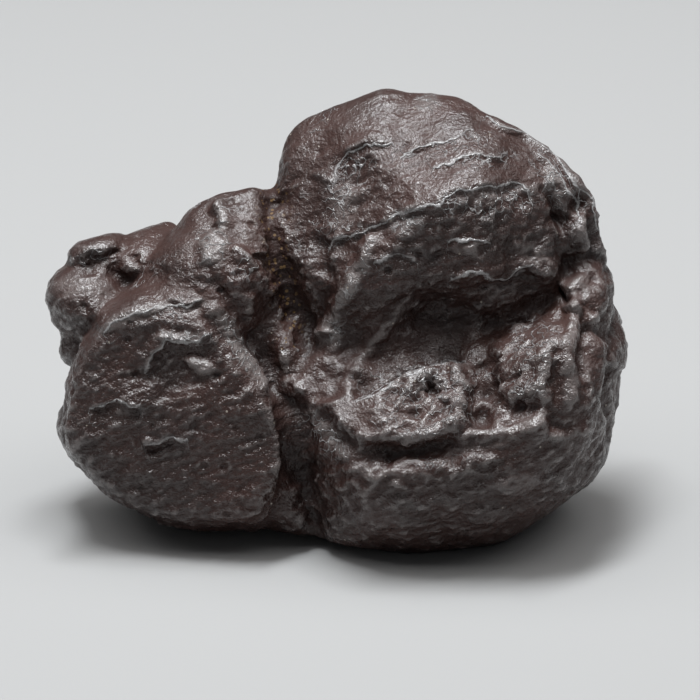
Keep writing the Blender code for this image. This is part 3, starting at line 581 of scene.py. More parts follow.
# %% Craggy patches, as middle, half-sizes, turn and how craggy
CRAGS = [
    ((10.3, -6.9), (7.0, 5.0), 0, 1.0),
    ((19.5, -6.0), (5.5, 6.0), 0, 0.9),
    ((25.4, 0.7), (3.6, 3.8), 0, 0.9),
    ((24.1, -5.8), (3.6, 4.0), 0, 1.0),
    ((8.0, -16.8), (12.0, 2.2), 8, 0.9),
    ((16.0, 12.5), (12.0, 7.5), 0, 0.40),
    ((20.0, 19.6), (7.0, 2.0), 8, 0.70),
    ((0.7, 24.6), (2.6, 2.2), 0, 0.55),
    ((-26.0, -7.0), (11.5, 12.0), 0, 0.22),
    ((-15.5, 8.5), (5.5, 3.5), 0, 0.45),
    ((5.0, 20.0), (6.0, 6.0), 0, 0.35),
]
print(len(CRAGS), "craggy patches")

# %% Patches where the crust is wrinkled, as middle, half-sizes and turn
WRINKLED = [
    ((-1.7, 19.9), (1.8, 4.5), -10), ((0.7, 24.8), (2.6, 2.6), 0), ((7.8, 17.6), (2.2, 1.6), 10),
    ((-0.7, 15.8), (3.0, 1.0), 20), ((-5.2, 16.8), (1.3, 1.2), 0), ((14.4, 19.9), (2.4, 1.6), 0),
    ((20.6, 20.2), (5.0, 1.8), 8), ((14.4, 28.2), (4.6, 1.2), 12), ((18.6, 26.1), (4.4, 1.0), 5),
    ((8.3, 27.5), (2.4, 0.9), 10), ((10.6, 34.1), (1.6, 1.4), 0), ((28.2, 22.7), (1.5, 3.0), 20),
    ((10.3, -6.9), (6.6, 5.0), 0), ((25.4, 0.7), (3.2, 3.4), 0), ((24.1, -4.8), (2.8, 2.0), 0),
    ((-19.0, 14.4), (2.4, 2.4), 0), ((-17.2, 17.9), (1.0, 2.4), 0), ((-14.4, 11.3), (2.6, 1.6), -35),
    ((-22.7, 1.7), (3.6, 0.9), 0), ((-15.1, 0.0), (5.0, 1.6), -56), ((-3.4, -11.7), (3.8, 1.6), -55),
    ((-2.1, 2.8), (1.5, 1.7), 0), ((0.3, 8.9), (7.0, 1.0), 65), ((-34.8, 12.4), (2.0, 1.2), 10),
]
print(len(WRINKLED), "wrinkled patches")


# %% The profile of each stroke
def ramp(low, high, value):
    """Nought below `low`, one above `high`, and the smooth curve t t (3 - 2 t) between them."""
    t = np.clip((value - low) / (high - low), 0, 1)
    return t * t * (3 - 2 * t)


def beside(x, y, line):
    """How far each point is from the line, more than nought above it, and its share of the way along."""
    line = np.array(line, float)
    lengths = np.linalg.norm(np.diff(line, axis=0), axis=1)
    best, side, run = np.full(x.shape, 1e9), np.zeros(x.shape), np.zeros(x.shape)
    done = 0.0
    for start, end, length in zip(line[:-1], line[1:], lengths):
        way = (end - start) / length
        t = np.clip((x - start[0]) * way[0] + (y - start[1]) * way[1], 0, length)
        dx, dy = x - (start[0] + t * way[0]), y - (start[1] + t * way[1])
        apart = np.hypot(dx, dy)
        nearer = apart < best
        best = np.where(nearer, apart, best)
        side = np.where(nearer, np.sign(way[0] * dy - way[1] * dx), side)
        run = np.where(nearer, (done + t) / lengths.sum(), run)
        done += length
    return best * side, run


def ledge(x, y, line, height, reach, foot):
    """A step across the line that fades back over `reach` above it, less a foot that fades below it."""
    apart, run = beside(x, y, line)
    above = ramp(-LEDGE_CRISPNESS, LEDGE_CRISPNESS, apart)
    proud = height * above * np.exp(-np.maximum(apart, 0) / reach)
    sunk = foot * (1 - above) * np.exp(-np.maximum(-apart - LEDGE_CRISPNESS, 0) / reach)
    return (proud - sunk) * ramp(0, 0.12, run) * ramp(0, 0.12, 1 - run)


def ridge(x, y, line, height, width):
    """A bell curve across the line, height times e to the minus (distance over width) squared."""
    apart, run = beside(x, y, line)
    return height * np.exp(-((apart / width) ** 2)) * ramp(0, 0.1, run) * ramp(0, 0.1, 1 - run)


def bump(x, y, middle, sizes, turn, height):
    """A soft-edged oval: full inside half its size, nought outside one and a half times its size."""
    c, s = np.cos(np.radians(turn)), np.sin(np.radians(turn))
    dx, dy = x - middle[0], y - middle[1]
    far = np.hypot((dx * c + dy * s) / sizes[0], (dy * c - dx * s) / sizes[1])
    return height * (1 - ramp(0.5, 1.5, far))


trial = np.array([-1.0, 0.0, 1.0])
trial_ledge = ledge(0 * trial, trial, [(-9, 0), (9, 0)], 1, 2, 0)
print("a 1 mm ledge, 1 mm below, on and above its line:", trial_ledge)

# %% [markdown]
# ## Swells, grain and pits
#
# Finer relief has no pattern that anyone could draw. It comes from lattice noise: each whole-numbered cell
# of space gets a fixed arrow, and the arrows are blended. Stretched along the old bedding it makes the
# short, flattened grains of the broken faces. Folded at nought it makes thin wrinkles. The steps where it
# passes nought make the broken layers on the back, and the same noise keeps the strokes from being ruled.


# %% Noise of a given grain size
def hashed(cells, seed):
    """A number from -1 to 1 for each whole-numbered cell, mixed from its place and always the same."""
    mixed = cells[:, 0] * 73856093 ^ cells[:, 1] * 19349663 ^ cells[:, 2] * 83492791 ^ seed * 26544357
    mixed = (mixed ^ (mixed >> 13)) * 1274126177
    return ((mixed ^ (mixed >> 16)) & 0xFFFFFFFF) / 2147483647.5 - 1


def swells(points, size, seed):
    """Hills and hollows about `size` apart: the slope at each cell corner, blended by the curve
    t t t (t (6 t - 15) + 10) along each axis."""
    scaled = points / size
    cells = np.floor(scaled).astype(np.int64)
    part = scaled - cells
    blend = part ** 3 * (part * (part * 6 - 15) + 10)
    total = np.zeros(len(points))
    for corner in np.stack(np.meshgrid([0, 1], [0, 1], [0, 1], indexing="ij"), axis=-1).reshape(-1, 3):
        pull = sum(hashed(cells + corner, seed + 101 * i) * (part[:, i] - corner[i]) for i in range(3))
        total += pull * np.where(corner == 1, blend, 1 - blend).prod(axis=1)
    return 1.6 * total


def scattered(points, size, seed):
    """With one seed scattered in each cell: how far the nearest and the next nearest seed are from each
    point, in cells, and the nearest one's number."""
    scaled = points / size
    cells = np.floor(scaled).astype(np.int64)
    first, second = np.full(len(points), 9.0), np.full(len(points), 9.0)
    owner = np.zeros(len(points))
    steps = np.stack(np.meshgrid([-1, 0, 1], [-1, 0, 1], [-1, 0, 1], indexing="ij"), axis=-1).reshape(-1, 3)
    for step in steps:
        cell = cells + step
        spot = cell + np.stack([hashed(cell, seed + 57 * i) for i in range(3)], axis=1) / 2 + 0.5
        apart = np.linalg.norm(scaled - spot, axis=1)
        nearer = apart < first
        second = np.where(nearer, first, np.minimum(second, apart))
        owner = np.where(nearer, hashed(cell, seed + 999), owner)
        first = np.minimum(first, apart)
    return first, second, owner


print("noise of the skin's points from", swells(skin_points, 11.0, 3).min().round(2), "up")


# %% All strokes together
def line_strokes(x, y, ledges, ridges):
    """The sum of the profiles of all ledges and ridges."""
    height = np.zeros(len(x))
    for entry in ledges:
        height += ledge(x, y, *entry)
    for entry in ridges:
        height += ridge(x, y, *entry)
    return height


def wandering(points):
    """Where each point is seen, moved up to WANDER by noise, so that no stroke keeps a ruled edge."""
    x, y, _ = seen(points)
    return x + WANDER * swells(points, 2.6, 201), y + WANDER * swells(points, 2.6, 211)


def front_carving(points, normals):
    """The strokes of the front view, up to half as high again or as low, where the surface faces it."""
    x, y = wandering(points)
    height = line_strokes(x, y, LEDGES, RIDGES) * (1 + 0.5 * swells(points, 3.2, 221))
    height += sum(bump(x, y, *entry) for entry in BUMPS)
    return height * ramp(0.0, 0.35, normals @ OUT)


def side_carving(points, normals, bearing, ledges, ridges, bumps):
    """The strokes of one side: x runs to its right, y up, and they fade where the surface turns away."""
    away = points - VIEW_MIDDLE
    x = away @ facing(bearing + 90, 0) + 2 * WANDER * swells(points, 4.0, 201)
    y = away[:, 2] + 2 * WANDER * swells(points, 4.0, 211)
    height = line_strokes(x, y, ledges, ridges) + sum(bump(x, y, *entry) for entry in bumps)
    return height * ramp(0.45, 0.75, normals @ facing(bearing, 0))


def behind(points):
    """Nought where the viewer sees the stone, one where it lies well behind its middle."""
    return ramp(2.0, 14.0, -seen(points)[2])


def terraces(points):
    """Broken layers: a step up wherever one of two slow noises passes nought, on a broad swell."""
    first = ramp(-0.07, 0.07, swells(points, 10.0, 301))
    second = ramp(-0.09, 0.09, swells(points / [1.0, 1.0, 0.7], 6.0, 302))
    broad = swells(points, 16.0, 311)
    return (1.0 * first + 0.5 * second + 1.6 * broad - 0.75) * ramp(0, 3.0, points[:, 2])


def carving(points, normals):
    """The strokes of the front and of each other side, and the terraces behind."""
    height = front_carving(points, normals)
    for side in OTHER_SIDES:
        height += side_carving(points, normals, *side)
    return height + behind(points) * terraces(points)


trial_terraces = terraces(skin_points)
print("terraces behind from", trial_terraces.min().round(1), "to", trial_terraces.max().round(1), "mm")


# %% Grain along the old bedding
BEDDING_RISE = 20.0
SWELL = 0.5
SWELL_SIZE = 11.0
PIT_DEPTH = 0.35


def along_bedding(points):
    """The points measured along the beds, across them and into the stone."""
    c, s = np.cos(np.radians(BEDDING_RISE)), np.sin(np.radians(BEDDING_RISE))
    along, across_beds = ACROSS * c + UP * s, UP * c - ACROSS * s
    return np.stack([points @ along, points @ across_beds, points @ OUT], axis=1)


def slow_swells(points):
    """Hills SWELL high and SWELL_SIZE apart, with half-size hills on them, fading at the floor."""
    height = swells(points, SWELL_SIZE, 3) + 0.5 * swells(points, SWELL_SIZE / 2, 20)
    return SWELL * height * ramp(0, 3.0, points[:, 2])


def crags(points):
    """Folded hills of two sizes: 1 less twice the size of the noise, so that its crests are sharp."""
    beds = along_bedding(points) / [1.5, 1.0, 1.0]
    coarse = 1 - 2.4 * np.abs(swells(beds, 2.6, 131))
    fine = 1 - 2.4 * np.abs(swells(beds + 5.0, 1.4, 147))
    return 0.55 * coarse + 0.32 * fine


def grain(points, upward):
    """Flattened grains of three sizes on the faces, and folded wrinkles where the surface faces up."""
    beds = along_bedding(points) / [2.2, 1.0, 1.3]
    coarse = swells(beds, 2.0, 31)
    middle = swells(beds, 1.05, 47)
    fine = swells(beds, 0.55, 53)
    wrinkles = 1 - 2 * np.abs(swells(points / [1.6, 1.0, 1.0], 1.5, 71))
    chips_near, chips_next, chip = scattered(points + 0.8 * swells(points, 2.5, 5)[:, None], 4.2, 21)
    chips = chip * ramp(0.0, 0.3, chips_next - chips_near)
    rough = 0.28 * coarse + 0.22 * middle + 0.13 * fine + 0.20 * chips
    rough *= 1 - 0.7 * behind(points) * ramp(-0.35, 0.35, swells(points, 7.0, 92))
    wrinkle_share = ramp(-0.2, 0.5, swells(points, 6.0, 83))
    smooth = 0.14 * coarse + 0.10 * wrinkles * wrinkle_share + 0.08 * middle
    return (rough * (1 - upward) + smooth * upward) * ramp(0, 1.5, points[:, 2])


def pits(points):
    """Round pits in some cells of a fine scatter, each a smooth bowl."""
    near, _, owner = scattered(points, 2.3, 91)
    bowl = (1 - ramp(0.12, 0.34, near)) * ramp(0.35, 0.45, owner)
    return -PIT_DEPTH * bowl * ramp(0, 1.5, points[:, 2])


print("pits down to", pits(skin_points).min().round(2), "mm")


# %% Normals, easing and raising
def normals_of(points, quads):
    """At each point, the sum of the cross products of its cells' diagonals, made one long."""
    corners = points[quads]
    normal = np.cross(corners[:, 2] - corners[:, 0], corners[:, 3] - corners[:, 1])
    total = np.zeros_like(points)
    for corner in range(4):
        for axis in range(3):
            total[:, axis] += np.bincount(quads[:, corner], normal[:, axis], len(points))
    return total / np.linalg.norm(total, axis=1, keepdims=True)


def eased(values, edges, rounds):
    """The values moved half way to the mean of their neighbours, some rounds."""
    for _ in range(rounds):
        values = (values + mean_of_neighbours(values, edges)) / 2
    return values


def raised(points, normals, height):
    """The points moved out along their normals, with those of the worn flat kept on the floor."""
    moved = points + normals * height[:, None]
    moved[points[:, 2] < 0.02, 2] = 0
    moved[:, 2] = np.maximum(moved[:, 2], 0)
    return moved


broad_normals = eased(normals_of(skin_points, skin_quads), skin_edges, 6)
print("normals of", len(broad_normals), "points")

# %% Carve the skin, then add the fine relief
broad_height = carving(skin_points, broad_normals) + slow_swells(skin_points)
skin_points = raised(skin_points, broad_normals, broad_height)
skin_points = fitted(eased(skin_points, skin_edges, 2))
body_normals = normals_of(skin_points, skin_quads)
upward = ramp(0.35, 0.8, body_normals[:, 2])
front_x, front_y = wandering(skin_points)
in_view = ramp(0.0, 0.3, body_normals @ OUT)
craggy = 0.3 * ramp(-0.1, 0.5, swells(skin_points, 8.0, 11)) * (1 - in_view)
for middle, sizes, turn, amount in CRAGS:
    craggy = np.maximum(craggy, bump(front_x, front_y, middle, sizes, turn, amount) * in_view)
fine_height = grain(skin_points, upward) + pits(skin_points) + craggy * crags(skin_points)
skin_points = fitted(raised(skin_points, body_normals, fine_height))
print("strokes from", broad_height.min().round(2), "to", broad_height.max().round(2), "mm")
print("fine relief from", fine_height.min().round(2), "to", fine_height.max().round(2), "mm")

# %% [markdown]
# ## The mesh, and what it tells the material
#
# Seven numbers go with each point of the mesh, because a material can't measure them itself: how far the
# point stands proud, how deep it lies, how much it faces up, how near it is to the crease that holds the
# grit, how far it is from the lip of a ledge, how wrinkled the crust is there and how pale it is painted,
# partly for rubbed wear and partly as a painted sheen.


# %% Put the skin into a mesh
def proudness(points, quads, edges, rounds):
    """How far each point stands outside the surface that `rounds` of easing would leave, in millimetres."""
    away = points - eased(points, edges, rounds)
    return (away * normals_of(points, quads)).sum(axis=1)


def skin_mesh(name, points, quads):
    """A mesh of these millimetre points, moved so that the plan's middle is at the origin, in metres."""
    mesh = bpy.data.meshes.new(name)
    mesh.from_pydata(((points - PLAN_MIDDLE) * MM).tolist(), [], quads.tolist())
    mesh.shade_smooth()
    return mesh


def add_numbers(mesh, name, values):
    """One number for each point, under this name."""
    layer = mesh.attributes.new(name, "FLOAT", "POINT")
    layer.data.foreach_set("value", np.ascontiguousarray(values, np.float32))


stone_mesh = skin_mesh("limonite_skin", skin_points, skin_quads)
stone_piece = bpy.data.objects.new("limonite_skin", stone_mesh)
bpy.context.scene.collection.objects.link(stone_piece)
print(len(stone_mesh.vertices), "points,", 2 * len(stone_mesh.polygons), "triangles")

# %% How proud and how deep each point is
PROUD_RANGE = 0.3
DEEP_RANGE = 1.2
proud = proudness(skin_points, skin_quads, skin_edges, 4)
deep = proudness(skin_points, skin_quads, skin_edges, 60)
add_numbers(stone_mesh, "proud", np.clip(0.5 + proud / PROUD_RANGE, 0, 1))
add_numbers(stone_mesh, "deep", np.clip(-deep / DEEP_RANGE, 0, 1))
add_numbers(stone_mesh, "upward", upward)
print("proud up to", proud.max().round(2), "mm, deep down to", deep.min().round(2), "mm")

# %% How near the gritty crease and the lip of a ledge are
CREASE_LINE = [(-10.5, 22.7), (-10.7, 17.9), (-9.6, 12.4), (-8.5, 6.9), (-8.0, 0.0)]
CREASE_WIDTH = 1.6
FAR_FROM_LIPS = 2.0
LIP_ABOVE_LINE = 0.15
crease_apart, crease_run = beside(front_x, front_y, CREASE_LINE)
crease = np.exp(-((crease_apart / CREASE_WIDTH) ** 2)) * in_view * (crease_run > 0) * (crease_run < 1)
lip = np.full(len(skin_points), FAR_FROM_LIPS)
for line, _, _, _ in LEDGES:
    apart, run = beside(front_x, front_y, line)
    on_lip = (run > 0.02) & (run < 0.98) & (in_view > 0.5)
    apart = np.where(on_lip, apart - LIP_ABOVE_LINE, FAR_FROM_LIPS)
    lip = np.where(np.abs(apart) < np.abs(lip), apart, lip)
add_numbers(stone_mesh, "grit", np.clip(crease, 0, 1))
add_numbers(stone_mesh, "lip", lip)
print((np.abs(lip) < 0.2).sum(), "points on a lip,", (crease > 0.5).sum(), "in the crease")

# %% Where the crust is wrinkled, and where it is painted pale, partly for wear and partly as painted sheen
slow_noise = swells(skin_points, 7.0, 61) + 0.4 * swells(skin_points, 3.0, 62)
wrinkled = ramp(0.35, 0.75, slow_noise) * upward
for entry in WRINKLED:
    wrinkled = np.maximum(wrinkled, bump(front_x, front_y, *entry, 1.0) * in_view)
# Out of view, faces that point up go pale where a slow noise is high: painted sheen, with some wear.
slow_noise = swells(skin_points, 6.0, 171) + 0.4 * swells(skin_points, 2.5, 172)
pale = 0.5 * ramp(0.25, 0.7, slow_noise) * upward * (1 - in_view)
for entry in PALE:
    pale = np.maximum(pale, bump(front_x, front_y, *entry) * in_view)
add_numbers(stone_mesh, "wrinkled", wrinkled)
add_numbers(stone_mesh, "pale", pale)
print("share wrinkled", (wrinkled > 0.5).mean().round(3), "and pale", (pale > 0.5).mean().round(3))

# %% [markdown]
# ## The finish
#
# The stone itself is brown and nearly dull. Handling has left a waxy coat on it, which shines a little more
# than glass of the same smoothness. Most of what looks pale in a picture is light off the facets, but some
# light and shade is painted into the colour too: a painted sheen where the crust faces up, a pale mix of
# wear and painted sheen on crests and patches, painted glints on the thin raised lines and painted shade
# where it lies deep. Three effects are built as groups, so that another material could take them too.


# %% Helpers for node trees
def new_group(name, inputs, outputs):
    """A shader node group with these sockets, each a (name, type, first value), and its two end nodes."""
    group = bpy.data.node_groups.new(name, "ShaderNodeTree")
    for label, kind, value in inputs:
        socket = group.interface.new_socket(label, in_out="INPUT", socket_type=kind)
        if value is not None:
            socket.default_value = value
    for label, kind in outputs:
        group.interface.new_socket(label, in_out="OUTPUT", socket_type=kind)
    return group, group.nodes.new("NodeGroupInput"), group.nodes.new("NodeGroupOutput")


def math_node(tree, operation, first, second, clamp=False):
    """A Math node whose two inputs are sockets or numbers."""
    node = tree.nodes.new("ShaderNodeMath")
    node.operation = operation
    node.use_clamp = clamp
    for index, value in enumerate((first, second)):
        if isinstance(value, bpy.types.NodeSocket):
            tree.links.new(value, node.inputs[index])
        else:
            node.inputs[index].default_value = value
    return node.outputs[0]


def noise_node(tree, vector, scale, detail, roughness=0.55):
    """A Noise Texture on this vector."""
    node = tree.nodes.new("ShaderNodeTexNoise")
    tree.links.new(vector, node.inputs["Vector"])
    node.inputs["Scale"].default_value = scale
    node.inputs["Detail"].default_value = detail
    node.inputs["Roughness"].default_value = roughness
    return node.outputs["Fac"]


def range_node(tree, value, low, high, to_low=0.0, to_high=1.0):
    """A Map Range node, clamped."""
    node = tree.nodes.new("ShaderNodeMapRange")
    tree.links.new(value, node.inputs["Value"])
    node.inputs["From Min"].default_value = low
    node.inputs["From Max"].default_value = high
    node.inputs["To Min"].default_value = to_low
    node.inputs["To Max"].default_value = to_high
    return node.outputs["Result"]


def measured_in(tree, ends, size_name):
    """The group's Place divided by its input of this name, so that noise of scale 1 is that big."""
    per_metre = math_node(tree, "DIVIDE", 1.0, ends.outputs[size_name])
    scaled = tree.nodes.new("ShaderNodeVectorMath")
    scaled.operation = "SCALE"
    tree.links.new(ends.outputs["Place"], scaled.inputs[0])
    tree.links.new(per_metre, scaled.inputs["Scale"])
    return scaled.outputs[0]


NUMBER = "NodeSocketFloat"
PLACE = ("Place", "NodeSocketVector", None)
print("a group's inputs start with", PLACE[0])

# %% Group: fine grain
grain_group, grain_in, grain_out = new_group(
    "fine grain",
    [PLACE, ("Grain size", NUMBER, 0.0006)],
    [("Height", NUMBER), ("Mottle", NUMBER)],
)
in_grains = measured_in(grain_group, grain_in, "Grain size")
grain_group.links.new(noise_node(grain_group, in_grains, 1.0, 3.0), grain_out.inputs["Height"])
grain_group.links.new(noise_node(grain_group, in_grains, 0.12, 4.0), grain_out.inputs["Mottle"])
print("group", grain_group.name, "has", len(grain_group.nodes), "nodes")

# %% Group: scattered specks
specks_group, specks_in, specks_out = new_group(
    "scattered specks",
    [PLACE, ("Spacing", NUMBER, 0.002), ("Size", NUMBER, 0.1)],
    [("Mask", NUMBER)],
)
speck_cells = specks_group.nodes.new("ShaderNodeTexVoronoi")
speck_cells.inputs["Scale"].default_value = 1.0
specks_group.links.new(measured_in(specks_group, specks_in, "Spacing"), speck_cells.inputs["Vector"])
speck = math_node(specks_group, "LESS_THAN", speck_cells.outputs["Distance"], specks_in.outputs["Size"])
specks_group.links.new(speck, specks_out.inputs["Mask"])
print("group", specks_group.name, "has", len(specks_group.nodes), "nodes")

# %% Group: thin raised lines where the crust has wrinkled
wrinkle_group, wrinkle_in, wrinkle_out = new_group(
    "wrinkle lines",
    [PLACE, ("Spacing", NUMBER, 0.001), ("Width", NUMBER, 0.03)],
    [("Line", NUMBER)],
)
wrinkle_noise = noise_node(wrinkle_group, measured_in(wrinkle_group, wrinkle_in, "Spacing"), 1.0, 1.5)
from_middle = math_node(wrinkle_group, "SUBTRACT", wrinkle_noise, 0.5)
from_middle = math_node(wrinkle_group, "ABSOLUTE", from_middle, 0.0)
share = math_node(wrinkle_group, "DIVIDE", from_middle, wrinkle_in.outputs["Width"])
wrinkle_line = math_node(wrinkle_group, "SUBTRACT", 1.0, share, clamp=True)
wrinkle_group.links.new(wrinkle_line, wrinkle_out.inputs["Line"])
print("group", wrinkle_group.name, "has", len(wrinkle_group.nodes), "nodes")

# %% [markdown]
# ## The limonite material
#
# It could be one flat brown, but a real crust changes from place to place. Its colours run from dark to
# reddish brown by the mottle. Light and shade are painted on top of that: a painted grey sheen where it
# faces up, painted shade where it lies deep, and a pale mix of wear and painted sheen on crests and on the
# pale patches. A coat stands for the waxy gloss, strongest on what stands proud. A bump adds grain
# too fine for the mesh.

# %% Colours of the crust, and of its painted sheen, glints and shade
DARK_BROWN = (0.022, 0.010, 0.008, 1.0)
RED_BROWN = (0.038, 0.014, 0.010, 1.0)
# The lighter grey-brown below is the painted sheen on faces that point up.
SHEEN_GREY_BROWN = (0.056, 0.026, 0.021, 1.0)
OCHRE = (0.16, 0.095, 0.040, 1.0)
PALE_DUST = (0.30, 0.26, 0.22, 1.0)
# The pale grey below is for crests and pale patches: partly wear, partly painted sheen.
RUBBED_AND_SHEEN_GREY = (0.17, 0.145, 0.138, 1.0)
# The light grey below is for painted glints on the lips of ledges and on the wrinkles, with a little wear.
WORN_AND_GLINT_GREY = (0.42, 0.41, 0.41, 1.0)
print("the darkest brown is", round(WORN_AND_GLINT_GREY[0] / DARK_BROWN[0]), "times darker than the worn and glint grey")


# %% Helpers for the material
def mix_colour(tree, share, first, second):
    """A Mix node between two colours, each a socket or a value."""
    node = tree.nodes.new("ShaderNodeMix")
    node.data_type = "RGBA"
    tree.links.new(share, node.inputs["Factor"])
    for label, value in (("A", first), ("B", second)):
        socket = [s for s in node.inputs if s.name == label and s.type == "RGBA"][0]
        if isinstance(value, bpy.types.NodeSocket):
            tree.links.new(value, socket)
        else:
            socket.default_value = value
    return [s for s in node.outputs if s.type == "RGBA"][0]


def number_of(tree, name):
    """The mesh's own number of this name."""
    node = tree.nodes.new("ShaderNodeAttribute")
    node.attribute_name = name
    return node.outputs["Fac"]


def placed_group(tree, group, place_socket, **values):
    """A copy of the group in this material, on this place, with its own values."""
    node = tree.nodes.new("ShaderNodeGroup")
    node.node_tree = group
    tree.links.new(place_socket, node.inputs["Place"])
    for label, value in values.items():
        node.inputs[label.replace("_", " ").capitalize()].default_value = value
    return node


# %% The material, with what is the same all over
STONE_IOR = 1.36
COAT_IOR = 1.62
COAT_ROUGHNESS = 0.14
limonite = bpy.data.materials.new("limonite")
limonite.use_nodes = True
tree = limonite.node_tree
surface = tree.nodes["Principled BSDF"]
surface.inputs["IOR"].default_value = STONE_IOR
surface.inputs["Coat IOR"].default_value = COAT_IOR
surface.inputs["Coat Roughness"].default_value = COAT_ROUGHNESS
print("refractive index", STONE_IOR, "under a coat of", COAT_IOR)

# %% What it reads: grain at two sizes, and the mesh's numbers
SMALL_GRAIN = 0.00040
BROAD_GRAIN = 0.0011
place_node = tree.nodes.new("ShaderNodeTexCoord")
here = place_node.outputs["Object"]
small_grain = placed_group(tree, grain_group, here, grain_size=SMALL_GRAIN)
broad_grain = placed_group(tree, grain_group, here, grain_size=BROAD_GRAIN)
mottle = broad_grain.outputs["Mottle"]
proud_here, deep_here = number_of(tree, "proud"), number_of(tree, "deep")
upward_here, grit_here = number_of(tree, "upward"), number_of(tree, "grit")
print("grain of", SMALL_GRAIN, "and", BROAD_GRAIN, "m, and", len(stone_mesh.attributes), "rows of the mesh")

# %% Its colour: browns, a painted sheen where it faces up, painted shade where it lies deep, and pale crests and patches, partly worn and partly painted sheen
colour = mix_colour(tree, range_node(tree, mottle, 0.35, 0.65), DARK_BROWN, RED_BROWN)
# Painted sheen: faces that point up are mixed towards the lighter grey-brown.
painted_top_sheen = math_node(tree, "MULTIPLY", upward_here, range_node(tree, mottle, 0.3, 0.6, 0.5, 1.0))
colour = mix_colour(tree, painted_top_sheen, colour, SHEEN_GREY_BROWN)
# Painted shade: the deeper a place lies, the more it is mixed towards the dark brown.
colour = mix_colour(tree, math_node(tree, "MULTIPLY", deep_here, 0.8), colour, DARK_BROWN)
# Crests and pale patches go towards the pale grey: partly wear, partly painted sheen.
crests = range_node(tree, math_node(tree, "ADD", proud_here, broad_grain.outputs["Height"]), 1.15, 1.45)
proud_pale_share = range_node(tree, proud_here, 0.35, 0.6, 0.25, 1.0)
pale_here = math_node(tree, "MULTIPLY", number_of(tree, "pale"), proud_pale_share)
pale_here = math_node(tree, "MAXIMUM", pale_here, math_node(tree, "MULTIPLY", crests, 0.6))
colour = mix_colour(tree, pale_here, colour, RUBBED_AND_SHEEN_GREY)
print("the browns take", len(tree.nodes), "nodes")

# %% Ochre grit in the crease, and pale dust
grit_specks = placed_group(tree, specks_group, here, spacing=0.0009, size=0.28)
grit = math_node(tree, "MULTIPLY", grit_specks.outputs["Mask"], grit_here)
colour = mix_colour(tree, grit, colour, OCHRE)
dust_specks = placed_group(tree, specks_group, here, spacing=0.0034, size=0.045)
colour = mix_colour(tree, dust_specks.outputs["Mask"], colour, PALE_DUST)
print("with the specks", len(tree.nodes), "nodes")

# %% Thin raised lines: the lips of ledges, a little wavy, and the wrinkles, with painted glints on them
wrinkles = placed_group(tree, wrinkle_group, here, spacing=0.0016, width=0.030)
waver = math_node(tree, "MULTIPLY", math_node(tree, "SUBTRACT", broad_grain.outputs["Height"], 0.5), 1.1)
lip_apart = math_node(tree, "ABSOLUTE", math_node(tree, "ADD", number_of(tree, "lip"), waver), 0.0)
lip_line = range_node(tree, lip_apart, 0.06, 0.22, 1.0, 0.0)
lip_line = math_node(tree, "MULTIPLY", lip_line, range_node(tree, mottle, 0.40, 0.50, 0.45, 1.0))
wrinkle_line = math_node(tree, "MULTIPLY", wrinkles.outputs["Line"], number_of(tree, "wrinkled"))
raised_line = math_node(tree, "MAXIMUM", lip_line, wrinkle_line)
# Painted glints: the raised lines are mixed towards the light grey, with a little wear.
colour = mix_colour(tree, math_node(tree, "MULTIPLY", raised_line, 0.8), colour, WORN_AND_GLINT_GREY)
tree.links.new(colour, surface.inputs["Base Color"])
print("with the lines", len(tree.nodes), "nodes")

# %% Its gloss: strongest on what stands proud and on the lines, weak in the gritty crease
rough = range_node(tree, mottle, 0.3, 0.7, 0.48, 0.66)
tree.links.new(rough, surface.inputs["Roughness"])
polish = range_node(tree, proud_here, 0.40, 0.75, 0.35, 1.0)
polish = math_node(tree, "MAXIMUM", polish, raised_line)
polish = math_node(tree, "MULTIPLY", polish, range_node(tree, grit_here, 0.2, 0.9, 1.0, 0.25))
tree.links.new(polish, surface.inputs["Coat Weight"])
print("with the gloss", len(tree.nodes), "nodes")

# %% Its relief, finer than the mesh
RELIEF_DEPTH = 0.00030
height = math_node(tree, "MULTIPLY", small_grain.outputs["Height"], 0.55)
coarse_share = range_node(tree, upward_here, 0.0, 1.0, 2.0, 0.9)
coarse_height = math_node(tree, "MULTIPLY", broad_grain.outputs["Height"], coarse_share)
height = math_node(tree, "ADD", height, coarse_height)
height = math_node(tree, "ADD", height, math_node(tree, "MULTIPLY", raised_line, 0.5))
relief = tree.nodes.new("ShaderNodeBump")
relief.inputs["Strength"].default_value = 1.0
relief.inputs["Distance"].default_value = RELIEF_DEPTH
tree.links.new(height, relief.inputs["Height"])
tree.links.new(relief.outputs["Normal"], surface.inputs["Normal"])
tree.links.new(relief.outputs["Normal"], surface.inputs["Coat Normal"])
stone_mesh.materials.append(limonite)
print("material", limonite.name, "has", len(tree.nodes), "nodes")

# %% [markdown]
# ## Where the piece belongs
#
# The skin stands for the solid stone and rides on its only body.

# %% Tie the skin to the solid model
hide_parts("concretion_cluster")
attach(stone_piece, "root")
print(stone_piece.name, "replaces concretion_cluster")

# %% [markdown]
# ## Table, light and camera
#
# A pale table top runs out of sight. A wide soft light hangs over the stone and a little behind it, as in a
# light tent, so the upward breaks shine and the front faces stay dark. A smaller, brighter patch in it puts
# the crisp glints on the ledges.

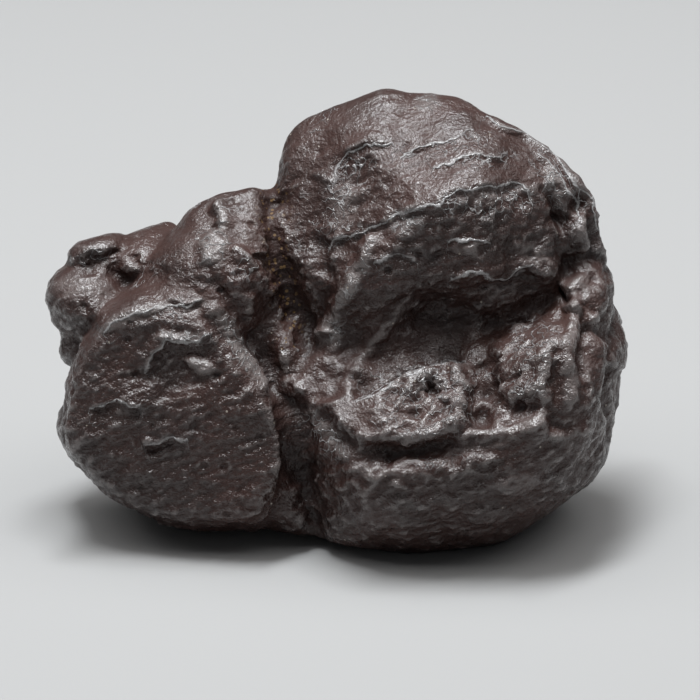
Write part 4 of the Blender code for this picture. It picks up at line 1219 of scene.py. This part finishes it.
# %% The table top
TABLE_SIZE = 3.0
table_mesh = bpy.data.meshes.new("table_top")
corners = TABLE_SIZE / 2 * np.array([(-1, -1, 0), (1, -1, 0), (1, 1, 0), (-1, 1, 0)])
table_mesh.from_pydata(corners.tolist(), [], [(0, 1, 2, 3)])
table_top = bpy.data.objects.new("table_top", table_mesh)
bpy.context.scene.collection.objects.link(table_top)
table_paint = bpy.data.materials.new("pale_table")
table_paint.use_nodes = True
paint = table_paint.node_tree.nodes["Principled BSDF"]
paint.inputs["Base Color"].default_value = (0.40, 0.396, 0.392, 1.0)
paint.inputs["Roughness"].default_value = 0.9
paint.inputs["Specular IOR Level"].default_value = 0.2
table_mesh.materials.append(table_paint)
print("the table top is", TABLE_SIZE, "m wide")


# %% Lights
def soft_light(name, spot, aim, size, power, colour=(1.0, 1.0, 1.0)):
    """A flat lamp of this width and depth at `spot`, turned to `aim`, all in metres and watts."""
    lamp = bpy.data.lights.new(name, "AREA")
    lamp.shape = "RECTANGLE"
    lamp.size, lamp.size_y = size
    lamp.energy = power
    lamp.color = colour
    holder = bpy.data.objects.new(name, lamp)
    bpy.context.scene.collection.objects.link(holder)
    holder.location = spot
    way = Vector(aim) - Vector(spot)
    holder.rotation_euler = way.to_track_quat("-Z", "Y").to_euler()
    return holder


soft_light("tent_roof", (0.0, 0.04, 0.72), (0.0, 0.03, 0.03), (1.8, 0.8), 7.2)
soft_light("roof_patch", (-0.05, 0.05, 0.68), (0.0, 0.0, 0.03), (0.40, 0.12), 5.0, (0.93, 0.97, 1.0))
room = bpy.data.worlds.new("room")
room.use_nodes = True
room.node_tree.nodes["Background"].inputs["Color"].default_value = (0.9, 0.95, 1.0, 1.0)
room.node_tree.nodes["Background"].inputs["Strength"].default_value = 0.08
bpy.context.scene.world = room
bpy.context.scene.view_settings.view_transform = "Standard"
print("lights:", [lamp.name for lamp in bpy.data.lights])

# %% Camera at the front view
PICTURE_WIDTH = 96.25
camera_data = bpy.data.cameras.new("front_view")
camera_data.sensor_width = 36.0
camera_data.lens = camera_data.sensor_width * VIEW_DISTANCE / PICTURE_WIDTH
camera_data.clip_start = 0.01
camera = bpy.data.objects.new("front_view", camera_data)
bpy.context.scene.collection.objects.link(camera)
camera.location = (VIEW_MIDDLE - PLAN_MIDDLE + VIEW_DISTANCE * OUT) * MM
camera.rotation_euler = Vector(-OUT).to_track_quat("-Z", "Y").to_euler()
bpy.context.scene.camera = camera
print("camera", np.round(camera.location, 3), "m, lens", round(camera_data.lens, 1), "mm")
